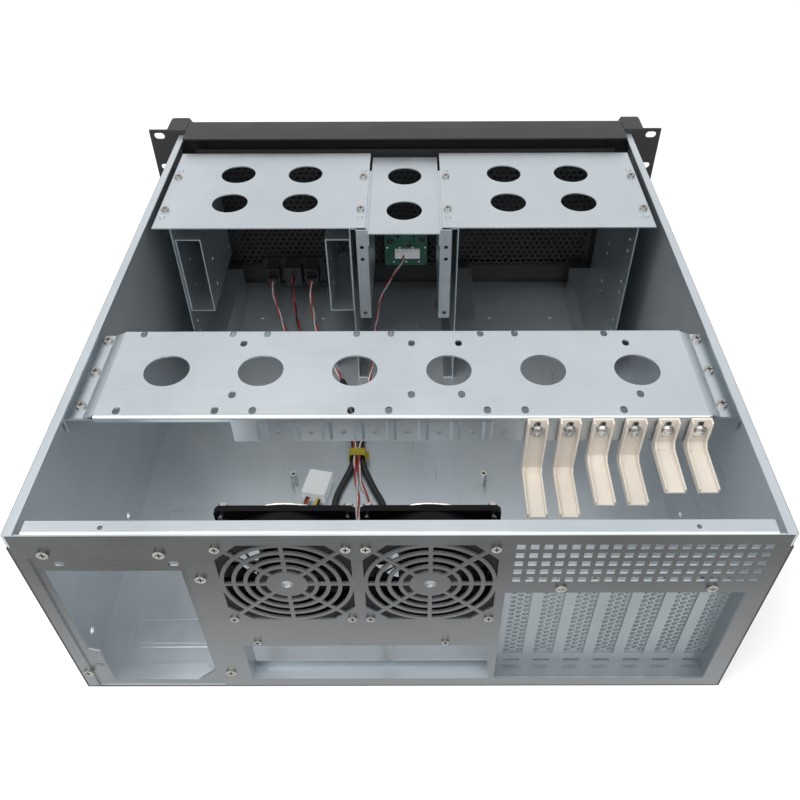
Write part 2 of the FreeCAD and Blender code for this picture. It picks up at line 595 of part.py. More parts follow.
def rear_panel():
    """The rear sheet with all of its windows, grilles and screw holes, and its folded top lip."""
    top = d.case_height
    right = [(wall_inside, rim_step_z), (rim_inside, rim_step_z + d.rim_inset),
             (rim_inside, top - d.steel), (d.rear_lip_half, top - d.steel), (d.rear_lip_half, top)]
    body = new_body("rear")
    outline = Drawing(body, "rear_outline", "XZ", -rear_y)
    outline.polygon([(-wall_inside, floor_z), (wall_inside, floor_z)] + right
                    + [(-x, z) for x, z in reversed(right)])
    pad(body, outline, d.steel, "rear_sheet")
    lip = Drawing(body, "rear_lip_section", "XZ", -rear_y)
    lip.rectangle((-d.rear_lip_half, d.rear_lip_half), (top - d.steel, top))
    pad(body, lip, d.rear_lip, "rear_lip_pad")
    crest = top.value - 0.01
    outside = rear_y.value - 0.01
    rounded("rear_lip_bend", body, d.rear_lip_round, lambda edge: edge.BoundBox.ZMin > crest
            and edge.BoundBox.YMin > outside and runs_along_x(edge))
    # cutting runs from inside the case out through the sheet
    windows = Drawing(body, "rear_windows", "XZ", -(rear_inside - 1))
    windows.rectangle((d.psu_cut_inner, d.psu_cut_outer), (0, d.psu_cut_top))
    windows.rectangle(about(d.io_x, d.io_width), (d.io_low, d.io_low + d.io_height))
    windows.rectangle((-d.slot_window_outer, -d.slot_window_inner),
                      (d.slot_window_low, d.slot_window_top))
    pocket(body, windows, d.steel + 2, "rear_window_cut")
    vents = Drawing(body, "rear_vents", "XZ", -(rear_inside - 1))
    for column in range(int(d.vent_columns.value)):
        middle = d.vent_first_x - d.vent_pitch_x * column
        vents.rectangle(about(middle, d.vent_width), about(d.vent_low_z, d.vent_height))
    row = pocket(body, vents, d.steel + 2, "rear_vent_row")
    repeat(body, row, "Z_Axis", d.vent_pitch_z * (d.vent_rows - 1), int(d.vent_rows.value), "rear_vent_rows")
    tools = [guard_opening(f"guard_{name}", x) for name, x in fan_spots()]
    for name, x, z in [*fan_screw_spots(), *panel_screw_spots(), *small_screw_spots()]:
        tools.append(hole(f"rear_hole_{name}", "y", x, (rear_inside - 1, rear_y + 1), z))
    tools += [rod(f"rear_lip_hole_{side}", "z", d.lip_hole_radius, signed(side, d.lip_hole_x),
                  rear_y - d.rear_lip / 2, (top - d.steel - 1, top + 1)) for side in (1, -1)]
    low, high = about(d.io_x, d.io_width)
    deepest = rear_y - d.io_depth
    flanges = [block("io_lip", (low, high), (rear_y - d.io_lip, rear_inside), (d.io_low - d.steel, d.io_low)),
               block("io_side", (high, high + d.steel), (deepest, rear_inside),
                     (floor_z, d.io_low + d.io_height)),
               block("io_upstand", (low, high), (deepest, deepest + d.steel), (floor_z, d.io_low))]
    return finish(fuse("rear_whole", [cut("rear_cut", body, tools)] + flanges), "rear_panel")


def obround(name, x, z, length, height, y):
    """A round-ended slot cutter through the sheet, along x."""
    reach = (length - height) / 2
    return fuse(name, [block(f"{name}_middle", (x - reach, x + reach), y, about(z, height)),
                       rod(f"{name}_end_a", "y", height / 2, x - reach, y, z),
                       rod(f"{name}_end_b", "y", height / 2, x + reach, y, z)])


def psu_frame():
    """The plate behind the power supply cut-out that takes the power supply's screws."""
    rear, front = rear_inside, rear_inside - d.steel
    outer = rim_inside - 0.6
    sheet = block("psu_sheet", (d.psu_plate_inner, outer), (front, rear), (floor_z, d.psu_plate_top))
    inner, low = d.psu_open_inner, d.psu_open_low
    window = extrusion("psu_window", "XZ", -(rear + 1), d.steel + 2,
                       [(inner + d.psu_chamfer, low), (d.psu_step_x, low),
                        (d.psu_step_x, d.psu_step_z), (d.psu_open_outer, d.psu_step_z + d.psu_step_rise),
                        (d.psu_open_outer, d.psu_open_top), (inner, d.psu_open_top),
                        (inner, low + d.psu_chamfer)])
    tools = [window, obround("psu_foot_slot", d.psu_foot_slot_x, d.psu_foot_slot_z, d.psu_slot_length,
                             d.psu_foot_slot_height, (front - 1, rear + 1))]
    for name, x in (("left", d.psu_slot_left_x), ("right", d.psu_slot_right_x)):
        tools.append(obround(f"psu_slot_{name}", x, d.psu_slot_z, d.psu_slot_length, d.psu_slot_height,
                             (front - 1, rear + 1)))
    for name, x, z in panel_screw_spots()[:5]:
        tools.append(hole(f"psu_hole_{name}", "y", x, (front - 1, rear + 1), z))
    plate = cut("psu_plate", sheet, tools)
    shelf = extrusion("psu_shelf", "XY", low - d.steel, d.steel,
                      [(inner, front), (inner + d.psu_lip, front - d.psu_lip),
                       (d.psu_open_outer - d.psu_lip, front - d.psu_lip), (d.psu_open_outer, front)])
    side = extrusion("psu_side", "XY", low, d.psu_open_top - low,
                     [(inner - d.steel, front), (inner - d.steel, front - d.psu_lip),
                      (inner, front - d.psu_lip), (inner, front)])
    return finish(fuse("psu_frame_whole", [plate, shelf, side]), "psu_frame")


recess_rear = rear_y - d.slot_recess
recess_front = recess_rear - d.steel
shelf_top = d.slot_window_top + d.steel


def slot_middles():
    """The x of every expansion slot, from the middle of the case outwards."""
    return [-(d.slot_first_x + d.slot_pitch * index) for index in range(7)]


def slot_bracket():
    """The recessed plate with seven expansion slots and the shelf the slot covers screw to."""
    inner, outer = -d.slot_window_inner, -d.slot_window_outer
    body = new_body("slots")
    face = Drawing(body, "slots_face", "XZ", -recess_rear)
    face.rectangle((outer - d.steel, inner + d.steel), (floor_z, shelf_top))
    pad(body, face, d.steel, "slots_sheet")
    cuts = Drawing(body, "slots_cuts", "XZ", -(recess_front - 1))
    for middle in slot_middles():
        cuts.rectangle(about(middle, d.slot_width), (d.slot_low, d.slot_high))
        cuts.rectangle(about(middle, d.slit_width), about(d.slit_z, d.slit_height))
    pocket(body, cuts, d.steel + 2, "slots_cut")
    deep = (recess_front, rear_inside)
    sides = [block("slots_inner_side", (inner, inner + d.steel), deep, (floor_z, shelf_top)),
             block("slots_outer_side", (outer - d.steel, outer), deep, (floor_z, shelf_top)),
             block("slots_bottom", (outer, inner), deep, (d.slot_window_low - d.steel, d.slot_window_low)),
             block("slots_shelf", (outer - d.steel, inner + d.steel), deep, (d.slot_window_top, shelf_top)),
             block("slots_upstand", (outer - d.steel, inner + d.steel), (rear_inside - d.steel, rear_inside),
                   (d.slot_window_top, d.slot_window_top + d.slot_flange))]
    tools = [hole(f"slots_screw_hole_{index}", "z", middle, slot_screw_y,
                  (d.slot_window_top - 1, shelf_top + 1)) for index, middle in enumerate(slot_middles())]
    tools += [hole(f"slots_panel_hole_{name}", "y", x, (rear_inside - d.steel - 1, rear_inside + 1), z)
              for name, x, z in panel_screw_spots()[5:]]
    return finish(cut("slots_whole", fuse("slots_fused", [body] + sides), tools), "slot_bracket")


slot_screw_y = recess_front + d.cover_tab / 2 + 0.6


def slot_cover(index, middle):
    """A perforated slot cover with its screw tab bent over the shelf."""
    top = shelf_top + d.cover_steel
    rear, front = recess_front, recess_front - d.cover_steel
    body = new_body(f"cover_{index}")
    face = Drawing(body, f"cover_{index}_face", "XZ", -rear)
    face.rectangle(about(middle, d.cover_width), (d.cover_low, top))
    pad(body, face, d.cover_steel, f"cover_{index}_sheet")
    holes = Drawing(body, f"cover_{index}_holes", "XZ", -(front - 1))
    low = d.perforation_low
    holes.hexagon(middle - d.perforation_column, low, d.perforation)
    holes.hexagon(middle, low + d.perforation_pitch / 2, d.perforation)
    holes.hexagon(middle + d.perforation_column, low, d.perforation)
    row = pocket(body, holes, d.cover_steel + 2, f"cover_{index}_row")
    rows = int(d.perforation_rows.value)
    repeat(body, row, "Z_Axis", d.perforation_pitch * (rows - 1), rows, f"cover_{index}_rows")
    tab = block(f"cover_{index}_tab", about(middle, d.cover_width), (front, rear + d.cover_tab),
                (shelf_top, top))
    tool = hole(f"cover_{index}_hole", "z", middle, slot_screw_y, (shelf_top - 1, top + 1))
    return finish(cut(f"cover_{index}_cut", fuse(f"cover_{index}_whole", [body, tab]), [tool]),
                  f"slot_cover_{index}")


def panel_screws():
    """Screws through the rear panel, and those that hold the slot covers down."""
    pieces = [screw(f"panel_screw_{name}", "y", x, rear_y, z, 1) for name, x, z in panel_screw_spots()]
    pieces += [screw(f"panel_screw_{name}", "y", x, rear_y, z, 1, d.small_screw_head, d.small_screw_length)
               for name, x, z in small_screw_spots()]
    pieces += [screw(f"slot_screw_{index}", "z", middle, slot_screw_y, shelf_top + d.cover_steel, 1)
               for index, middle in enumerate(slot_middles())]
    return finish(group("panel_screw_group", pieces), "panel_screws")


def fan_screws():
    """The fans' screws: four through the rear panel and four through the wire guard of each."""
    head, length = d.fan_screw_head, d.fan_screw_length
    pieces = []
    for name, x, z in fan_screw_spots():
        pieces.append(screw(f"fan_screw_{name}", "y", x, rear_y, z, 1, head, length))
        pieces.append(screw(f"wire_screw_{name}", "y", x, fan_front - d.wire_thick, z, -1, head, length - 2))
    return finish(group("fan_screw_group", pieces), "fan_screws")


# ---- fans ----------------------------------------------------------------------------------------

fan_rear = rear_inside
fan_front = rear_inside - d.fan_depth


def fan_frame(name, x):
    """A square fan housing: two flanges, a round duct and a motor mount on struts."""
    z = d.fan_z
    half = d.fan_size / 2
    short = half - d.fan_chamfer
    outline = [(x + signed(a, u), z + signed(b, v)) for a, b, pair in (
        (1, 1, ((half, short), (short, half))), (-1, 1, ((short, half), (half, short))),
        (-1, -1, ((half, short), (short, half))), (1, -1, ((short, half), (half, short))))
        for u, v in pair]
    reach = d.fan_hole_spacing / 2
    pieces = [extrusion(f"fan_{name}_front", "XZ", -(fan_front + d.fan_flange), d.fan_flange, outline),
              extrusion(f"fan_{name}_rear", "XZ", -fan_rear, d.fan_flange, outline),
              rod(f"fan_{name}_duct", "y", d.fan_duct, x, (fan_front, fan_rear), z)]
    corners = [(x + signed(a, reach), z + signed(b, reach)) for a in (1, -1) for b in (1, -1)]
    tools = [rod(f"fan_{name}_bore", "y", d.fan_bore, x, (fan_front - 1, fan_rear + 1), z)]
    for index, (u, v) in enumerate(corners):
        tools.append(rod(f"fan_{name}_screw_{index}", "y", d.fan_hole_radius, u,
                         (fan_front - 1, fan_rear + 1), v))
    housing = cut(f"fan_{name}_housing", fuse(f"fan_{name}_blank", pieces), tools)
    deep = (fan_rear - d.fan_stator_depth, fan_rear)
    stator = [rod(f"fan_{name}_stator", "y", d.fan_stator, x, deep, z)]
    long = about(z, d.fan_bore * 2 + 1)
    wide = about(x, d.fan_bore * 2 + 1)
    stator.append(block(f"fan_{name}_strut_a", about(x, d.fan_strut), deep, long))
    stator.append(block(f"fan_{name}_strut_b", wide, deep, about(z, d.fan_strut)))
    shaft_hole = rod(f"fan_{name}_shaft_hole", "y", d.fan_shaft + d.fan_shaft_gap, x,
                     (fan_rear - d.fan_stator_depth - 1, fan_rear + 1), z)
    mount = cut(f"fan_{name}_mount", fuse(f"fan_{name}_stator_whole", stator), [shaft_hole])
    return finish(fuse(f"fan_{name}_whole", [housing, mount]), f"fan_frame_{name}")


def finger_guards():
    """The wire guard on the inner face of each fan: rings, four arms and a loop at every corner."""
    deep = (fan_front - d.wire_thick, fan_front)
    through = (fan_front - d.wire_thick - 1, fan_front + 1)
    z = d.fan_z
    half = d.wire_thick / 2
    reach = d.fan_hole_spacing / 2
    guards = []
    for name, x in fan_spots():
        wires = []
        radius = d.wire_ring
        for index in range(int(d.wire_ring_count.value)):
            ring = rod(f"wire_{name}_ring_out_{index}", "y", radius + half, x, deep, z)
            inside = rod(f"wire_{name}_ring_in_{index}", "y", radius - half, x, through, z)
            wires.append(cut(f"wire_{name}_ring_{index}", ring, [inside]))
            radius = radius - d.wire_ring_step
        start = radius + d.wire_ring_step
        end = d.fan_hole_spacing / math.sqrt(2.0) - d.wire_loop_hole - 0.4
        for a, b in ((1, 1), (-1, 1), (-1, -1), (1, -1)):
            u, v = a * math.sqrt(0.5), b * math.sqrt(0.5)
            wires.append(extrusion(f"wire_{name}_arm_{len(wires)}", "XZ", -fan_front, d.wire_thick,
                                   [(x + start * u + half * v, z + start * v - half * u),
                                    (x + end * u + half * v, z + end * v - half * u),
                                    (x + end * u - half * v, z + end * v + half * u),
                                    (x + start * u - half * v, z + start * v + half * u)]))
            place_x, place_z = x + signed(a, reach), z + signed(b, reach)
            count = len(wires)
            loop = rod(f"wire_{name}_loop_out_{count}", "y", d.wire_loop, place_x, deep, place_z)
            eye = rod(f"wire_{name}_loop_in_{count}", "y", d.wire_loop_hole, place_x, through, place_z)
            wires.append(cut(f"wire_{name}_loop_{count}", loop, [eye]))
        guards.append(fuse(f"wire_{name}_whole", wires))
    return finish(group("wire_guards", guards), "finger_guards")


def fan_rotor(name, x):
    """The turning hub with its blades and shaft."""
    span = d.fan_hub_length
    body = new_body(f"rotor_{name}")
    hub = Drawing(body, f"rotor_{name}_hub", "XZ", -(span / 2))
    hub.circle(0, 0, d.fan_hub)
    pad(body, hub, span, f"rotor_{name}_hub_pad")
    lean = math.tan(math.radians(d.blade_pitch.value))
    section = Drawing(body, f"rotor_{name}_section", "YZ", d.fan_hub - d.blade_root)
    low, high = -(span / 2) + d.blade_gap, span / 2 - d.blade_gap
    rise = d.blade_chord / 2 * math.cos(math.radians(d.blade_pitch.value))
    thick = d.blade_thick * math.hypot(1.0, 1.0 / lean)
    section.polygon([(low, -rise), (low + thick, -rise), (high, rise), (high - thick, rise)])
    blade = pad(body, section, d.fan_tip - d.fan_hub + d.blade_root, f"rotor_{name}_blade")
    ring = body.newObject("PartDesign::PolarPattern", f"rotor_{name}_blades")
    ring.Originals = [blade]
    ring.Axis = ([item for item in body.Origin.OriginFeatures if item.Role == "Y_Axis"][0], [""])
    ring.Angle = 360.0
    ring.Occurrences = int(d.blade_count.value)
    body.Tip = ring
    place(body, x, fan_middle, d.fan_z)
    swept = rod(f"rotor_{name}_swept", "y", d.fan_tip, x, (fan_middle - span, fan_middle + span), d.fan_z)
    vane = overlap(f"rotor_{name}_trim", body, swept)
    shaft = rod(f"rotor_{name}_shaft", "y", d.fan_shaft, x, (fan_middle, fan_rear - d.blade_gap), d.fan_z)
    return finish(fuse(f"rotor_{name}_whole", [vane, shaft]), f"fan_rotor_{name}")


fan_middle = fan_front + (d.fan_depth - d.fan_stator_depth) / 2


# ---- crossbar, clamp rail and card clamps ----------------------------------------------------------

bar_front = back(d.bar_front_y)
bar_rear = back(d.bar_rear_y)
bar_top = d.bar_top_z
bar_end_top = bar_top - d.bar_joggle


def bar_screw_spots():
    """The six screws at the crossbar's ends: names, x and y."""
    spots = []
    for side, word in ((1, "left"), (-1, "right")):
        for index in range(3):
            spots.append((f"{word}_{index}", signed(side, d.bar_screw_x),
                          back(d.bar_screw_front_y + d.bar_screw_step * index)))
    return spots


def crossbar():
    """The stiffening bar across the case, with lightening holes and slots."""
    under = bar_top - d.steel
    body = new_body("bar")
    section = Drawing(body, "bar_section", "YZ", -d.bar_half)
    section.polygon([(bar_front, bar_top), (bar_front, bar_top - d.bar_front_flange),
                     (bar_front + d.steel, bar_top - d.bar_front_flange), (bar_front + d.steel, under),
                     (bar_rear - d.steel, under), (bar_rear - d.steel, bar_top - d.bar_rear_flange),
                     (bar_rear, bar_top - d.bar_rear_flange), (bar_rear, bar_top)])
    pad(body, section, d.bar_half * 2, "bar_sheet")
    crest = bar_top.value - 0.01
    rounded("bar_bends", body, d.bar_round, lambda edge: edge.BoundBox.ZMin > crest and runs_along_x(edge))
    ends = Drawing(body, "bar_ends", "XZ", -(bar_rear - d.bar_round))
    slope = d.bar_half + d.bar_slope
    edge = d.bar_end_x
    drop = bar_end_top - d.steel
    for side in (1, -1):
        ends.polygon([(signed(side, u), v) for u, v in (
            (d.bar_half - 1, bar_top), (d.bar_half, bar_top), (slope, bar_end_top), (edge, bar_end_top),
            (edge, drop), (slope - 0.5, drop), (d.bar_half - 0.5, under), (d.bar_half - 1, under))])
    pad(body, ends, bar_rear - bar_front - d.bar_round * 2, "bar_end_pads")
    rounds = Drawing(body, "bar_rounds", "XY", bar_top + 1)
    for index in range(6):
        rounds.circle(d.bar_hole_pitch * (index - 2.5), back(d.bar_hole_y), d.bar_hole_radius)
    pocket(body, rounds, d.steel + 2, "bar_round_cut")
    inner = Drawing(body, "bar_inner_slots", "XY", bar_top + 1)
    for x in (d.bar_inner_a, d.bar_inner_b, d.bar_inner_c, d.bar_inner_d):
        for y in (d.bar_inner_front_y, d.bar_inner_rear_y):
            inner.slot(x, back(y), d.bar_slot_width, d.bar_slot_length)
    pocket(body, inner, d.steel + 2, "bar_inner_cut")
    pair = Drawing(body, "bar_slot_pair", "XY", bar_top + 1)
    for side in (1, -1):
        for y in (d.bar_slot_front_y, d.bar_slot_rear_y):
            pair.slot(-d.bar_slot_first_x + signed(side, d.bar_slot_pair / 2), back(y),
                      d.bar_slot_width, d.bar_slot_length)
    first = pocket(body, pair, d.steel + 2, "bar_pair_cut")
    repeat(body, first, "X_Axis", d.bar_slot_step * 3, 4, "bar_pairs")
    tools = [hole(f"bar_hole_{name}", "z", x, y, (drop - 1, bar_end_top + 1))
             for name, x, y in bar_screw_spots()]
    return finish(cut("bar_cut", body, tools), "crossbar")


def crossbar_brackets():
    """The two angled supports on the side walls that carry the crossbar."""
    pieces = []
    top = bar_end_top - d.steel
    deep = (bar_front + 3, bar_rear - 3)
    for side, word in ((1, "left"), (-1, "right")):
        plate = block(f"bracket_{word}_plate", mirrored(side, rim_inside - d.steel, rim_inside), deep,
                      (d.bracket_foot_z, top))
        shelf = block(f"bracket_{word}_shelf", mirrored(side, d.bar_half - d.bracket_reach, rim_inside), deep,
                      (top - d.steel, top))
        tools = [hole(f"bracket_hole_{name}", "z", x, y, (top - d.steel - 1, top + 1))
                 for name, x, y in bar_screw_spots() if name.startswith(word)]
        pieces.append(cut(f"bracket_{word}", fuse(f"bracket_{word}_whole", [plate, shelf]), tools))
    return finish(group("brackets", pieces), "crossbar_brackets")


rail_rear = bar_rear - d.steel
rail_front = rail_rear - d.steel
clamp_front = bar_rear + d.clamp_gap


def rail_hole_x(index):
    """The x of one of the clamp rail's holes."""
    return d.rail_hole_first_x - d.slot_pitch * index


def clamp_rail():
    """The upright strip under the crossbar with a hole and a lanced tab for every slot position."""
    top = bar_top - d.steel
    sheet = block("rail_sheet", (d.rail_right_x, d.rail_left_x), (rail_front, rail_rear), (d.rail_low_z, top))
    tabs = []
    tools = []
    first_clamp = int(d.clamp_first_hole.value)
    for index in range(int(d.rail_hole_count.value)):
        x = rail_hole_x(index)
        z = d.clamp_screw_z if index >= first_clamp else d.rail_hole_z
        tools.append(hole(f"rail_hole_{index}", "y", x, (rail_front - 1, rail_rear + 1), z))
        if index < first_clamp:
            middle, reach = x + d.slot_pitch / 2, d.rail_tab_width / 2
            seat, proud = rail_rear - 0.4, rail_rear + d.rail_tab_proud - 0.3
            low = d.rail_low_z + 2
            tabs.append(extrusion(f"rail_tab_{index}", "XY", low, bar_top - d.bar_rear_flange - 0.4 - low,
                                  [(middle - reach, seat), (middle + reach, seat),
                                   (middle + reach, rail_rear),
                                   (middle + reach / 2, proud), (middle - reach / 2, proud),
                                   (middle - reach, rail_rear)]))
    return finish(cut("rail_cut", fuse("rail_whole", [sheet] + tabs), tools), "clamp_rail")


def card_clamp(number, foot_z):
    """A plastic hold-down for one card: an upright slotted channel with a foot reaching rearwards."""
    x = rail_hole_x(d.clamp_first_hole.value + number - 1)
    wall, side, deep = d.clamp_wall, d.clamp_side, d.clamp_side_height
    top = d.clamp_top_z
    front, end = clamp_front, clamp_front + d.clamp_reach
    name = f"clamp_{number}"
    body = new_body(name)

    def profile(thick, low, high, label):
        """An L-shaped channel wall of some thickness between two x values."""
        drawing = Drawing(body, f"{name}_{label}", "YZ", low)
        drawing.polygon([(front, top), (front, foot_z), (end, foot_z), (end, foot_z + thick * 0.8),
                         (front + thick + 3, foot_z + thick), (front + thick, foot_z + thick + 3),
                         (front + thick, top)])
        return pad(body, drawing, high - low, f"{name}_{label}_pad")

    left, right = about(x, d.clamp_width)
    profile(wall, left, right, "web")
    profile(deep, left, left + side, "side_a")
    profile(deep, right - side, right, "side_b")
    slot = Drawing(body, f"{name}_slot", "XZ", -(front - 1))
    middle = (d.clamp_slot_low + d.clamp_slot_high) / 2
    slot.slot(x, middle, d.clamp_slot_width, d.clamp_slot_high - d.clamp_slot_low)
    pocket(body, slot, wall + 1.5, f"{name}_slot_cut")
    return finish(body, f"card_clamp_{number}")


def clamp_screws():
    """Six washer-head screws, one through every card clamp into the rail."""
    pieces = []
    seat = clamp_front + d.clamp_wall + 0.1
    for number in range(6):
        x = rail_hole_x(d.clamp_first_hole.value + number)
        z = d.clamp_screw_z
        washer = rod(f"clamp_washer_{number}", "y", d.washer_radius, x, (seat, seat + d.washer_thick), z)
        bolt = screw(f"clamp_bolt_{number}", "y", x, seat + d.washer_thick, z, 1, length=d.clamp_screw_length)
        pieces.append(fuse(f"clamp_screw_{number}", [washer, bolt]))
    return finish(group("clamp_screw_group", pieces), "clamp_screws")


# ---- drive cages -------------------------------------------------------------------------------------

cage_front = back(d.cage_front_y)
cage_rear = back(d.cage_rear_y)
cage_under = d.cage_top_z - d.cage_steel
flange_under = cage_under - d.cage_steel
wall_rear = back(d.wall_rear_y)


def cage_screw_spots(side):
    """The four screws of one cage top: names, x and y."""
    spots = []
    for word, x in (("outer", d.cage_screw_outer_x), ("inner", d.cage_screw_inner_x)):
        spots.append((f"{word}_front", signed(side, x), back(d.cage_screw_front_y)))
        spots.append((f"{word}_rear", signed(side, x), back(d.cage_screw_rear_y)))
    return spots


def cage_top(side, word):
    """A drive cage's lid plate with four round openings and little lanced locating bumps."""
    name = f"cage_{word}"
    plate = block(f"{name}_plate", mirrored(side, d.cage_inner_x, d.cage_outer_x), (cage_front, cage_rear),
                  (cage_under, d.cage_top_z))
    bumps = []
    for spot, x, y in cage_screw_spots(side):
        lance_y = y - d.lance_gap if spot.endswith("front") else y + d.lance_gap
        bumps.append(rod(f"{name}_bump_{spot}", "z", d.lance_radius, x, lance_y,
                         (cage_under + 0.3, d.cage_top_z + d.lance_height)))
    tools = [hole(f"{name}_hole_{spot}", "z", x, y, (cage_under - 1, d.cage_top_z + 1))
             for spot, x, y in cage_screw_spots(side)]
    for index, (x, y) in enumerate(((d.cage_hole_near_x, d.cage_hole_front_y),
                                    (d.cage_hole_far_x, d.cage_hole_front_y),
                                    (d.cage_hole_near_x, d.cage_hole_rear_y),
                                    (d.cage_hole_far_x, d.cage_hole_rear_y))):
        tools.append(rod(f"{name}_round_{index}", "z", d.cage_hole_radius, signed(side, x), back(y),
                         (cage_under - 1, d.cage_top_z + 1)))
    return finish(cut(f"{name}_cut", fuse(f"{name}_whole", [plate] + bumps), tools), f"cage_top_{word}")


def bay_wall(side, word, place_word):
    """An upright cage wall with a foot, a ledge inside the bay, a flange on top and drive holes."""
    outer = place_word == "outer"
    name = f"wall_{word}_{place_word}"
    face = d.wall_outer_x - d.cage_steel if outer else d.wall_inner_x
    upright = (face, face + d.cage_steel)
    if outer:
        top_span = (face, d.cage_outer_x)
        foot_span = (face, face + d.cage_steel + d.wall_foot)
        ledge_span = (face - d.ledge_width, face)
        ledge_face = (face - d.ledge_width, face - d.ledge_width + d.cage_steel)
    else:
        top_span = (d.cage_inner_x, face + d.cage_steel)
        foot_span = (face - d.wall_foot, face + d.cage_steel)
        ledge_end = face + d.cage_steel + d.ledge_width
        ledge_span = (face + d.cage_steel, ledge_end)
        ledge_face = (ledge_end - d.cage_steel, ledge_end)
    deep = (cage_front, wall_rear)
    ledge_deep = (cage_front, back(d.ledge_rear_y))
    pieces = [block(f"{name}_sheet", mirrored(side, *upright), deep, (floor_z, cage_under)),
              block(f"{name}_top", mirrored(side, *top_span), deep, (flange_under, cage_under)),
              block(f"{name}_foot", mirrored(side, *foot_span), deep, (floor_z, floor_z + d.cage_steel)),
              block(f"{name}_ledge", mirrored(side, *ledge_span), ledge_deep,
                    (d.ledge_top_z - d.cage_steel, d.ledge_top_z)),
              block(f"{name}_ledge_face", mirrored(side, *ledge_face), ledge_deep, (floor_z, d.ledge_top_z))]
    tools = [hole(f"{name}_hole_{spot}", "z", x, y, (flange_under - 1, cage_under + 1))
             for spot, x, y in cage_screw_spots(side) if spot.startswith(place_word)]
    for row in range(3):
        middle = d.bay_hole_low_z + d.bay_hole_step * row
        for pair, z in enumerate((middle, middle - d.bay_hole_pair)):
            for column, y in enumerate((d.bay_hole_front_y, d.bay_hole_rear_y)):
                tools.append(rod(f"{name}_drive_{row}_{pair}_{column}", "x", d.drive_hole_radius,
                                 mirrored(side, upright[0] - 1, upright[1] + 1), back(y), z))
    return finish(cut(f"{name}_cut", fuse(f"{name}_whole", pieces), tools),
                  f"bay_wall_{word}_{place_word}")


def tower_bracket(side, word):
    """An upright bracket between the cages with a rear flange carrying three holes."""
    name = f"tower_{word}"
    web = (d.tower_x, d.tower_x + d.cage_steel)
    rear = back(d.tower_rear_y)
    front = back(d.tower_front_y)
    low = d.tower_low_z
    pieces = [block(f"{name}_web", mirrored(side, *web), (front, rear), (low, flange_under)),
              block(f"{name}_flange", mirrored(side, d.tower_x, d.tower_x + d.tower_flange + 1),
                    (rear - d.cage_steel, rear), (low, d.cage_top_z - 0.7)),
              block(f"{name}_top", mirrored(side, d.tower_x, d.wall_inner_x), (front, wall_rear),
                    (flange_under - d.cage_steel, flange_under))]
    tools = [rod(f"{name}_hole_{index}", "y", d.tower_hole_radius,
                 signed(side, d.tower_x + d.tower_flange - 3.4), (rear - d.cage_steel - 1, rear + 1), z)
             for index, z in enumerate((d.tower_hole_a, d.tower_hole_b, d.tower_hole_c))]
    tools += [rod(f"{name}_inner_hole_{index}", "z", d.lance_radius, signed(side, d.cage_screw_inner_x),
                  back(y), (flange_under - 3, flange_under + 1))
              for index, y in enumerate((d.cage_screw_front_y, d.cage_screw_rear_y))]
    return finish(cut(f"{name}_cut", fuse(f"{name}_whole", pieces), tools), f"tower_bracket_{word}")


def middle_plate():
    """The bridge between the two tower brackets, with its edges turned down."""
    deep = (back(d.middle_front_y), back(d.middle_rear_y))
    top = d.middle_top_z
    reach = d.tower_x
    pieces = [block("middle_sheet", (-reach, reach), deep, (top - d.cage_steel, top))]
    for side, word in ((1, "left"), (-1, "right")):
        pieces.append(block(f"middle_skirt_{word}", mirrored(side, reach - d.cage_steel, reach), deep,
                            (top - d.middle_skirt, top)))
    tools = [rod(f"middle_hole_{index}", "z", d.cage_hole_radius, as_size(0), back(y), (top - 3, top + 1))
             for index, y in enumerate((d.middle_hole_front_y, d.middle_hole_rear_y))]
    return finish(cut("middle_cut", fuse("middle_whole", pieces), tools), "cage_top_middle")


def adapter_channel(word):
    """An open-ended drive adapter channel in the left cage."""
    name = f"channel_{word}"
    if word == "outer":
        high = d.wall_outer_x - d.cage_steel
        span = (high - d.channel_width, high)
    else:
        low = d.wall_inner_x + d.cage_steel
        span = (low, low + d.channel_width)
    deep = (back(d.channel_front_y), back(d.channel_rear_y))
    tall = (d.channel_low_z, d.channel_high_z)
    box = block(f"{name}_box", span, deep, tall)
    t = d.cage_steel
    inside = block(f"{name}_inside", (span[0] + t, span[1] - t), (deep[0] - 1, deep[1] + 1),
                   (tall[0] + t, tall[1] - t))
    tools = [inside]
    for y in (d.channel_hole_front_y, d.channel_hole_rear_y):
        for z in (d.channel_hole_low_z, d.channel_hole_high_z):
            tools.append(rod(f"{name}_hole_{len(tools)}", "x", d.drive_hole_radius,
                             (span[0] - 1, span[1] + 1), back(y), z))
    return finish(cut(f"{name}_cut", box, tools), f"adapter_channel_{word}")


def frame_screws():
    """Screws holding the cage tops and the crossbar down."""
    pieces = [screw(f"frame_screw_{name}", "z", x, y, bar_end_top, 1) for name, x, y in bar_screw_spots()]
    for side, word in ((1, "left"), (-1, "right")):
        pieces += [screw(f"cage_screw_{word}_{spot}", "z", x, y, d.cage_top_z, 1)
                   for spot, x, y in cage_screw_spots(side)]
    return finish(group("frame_screw_group", pieces), "frame_screws")


# ---- front panel, handles, bezel and buttons -----------------------------------------------------------

panel_rear = back(d.panel_steel)
bezel_front = ear_y - d.bezel_depth


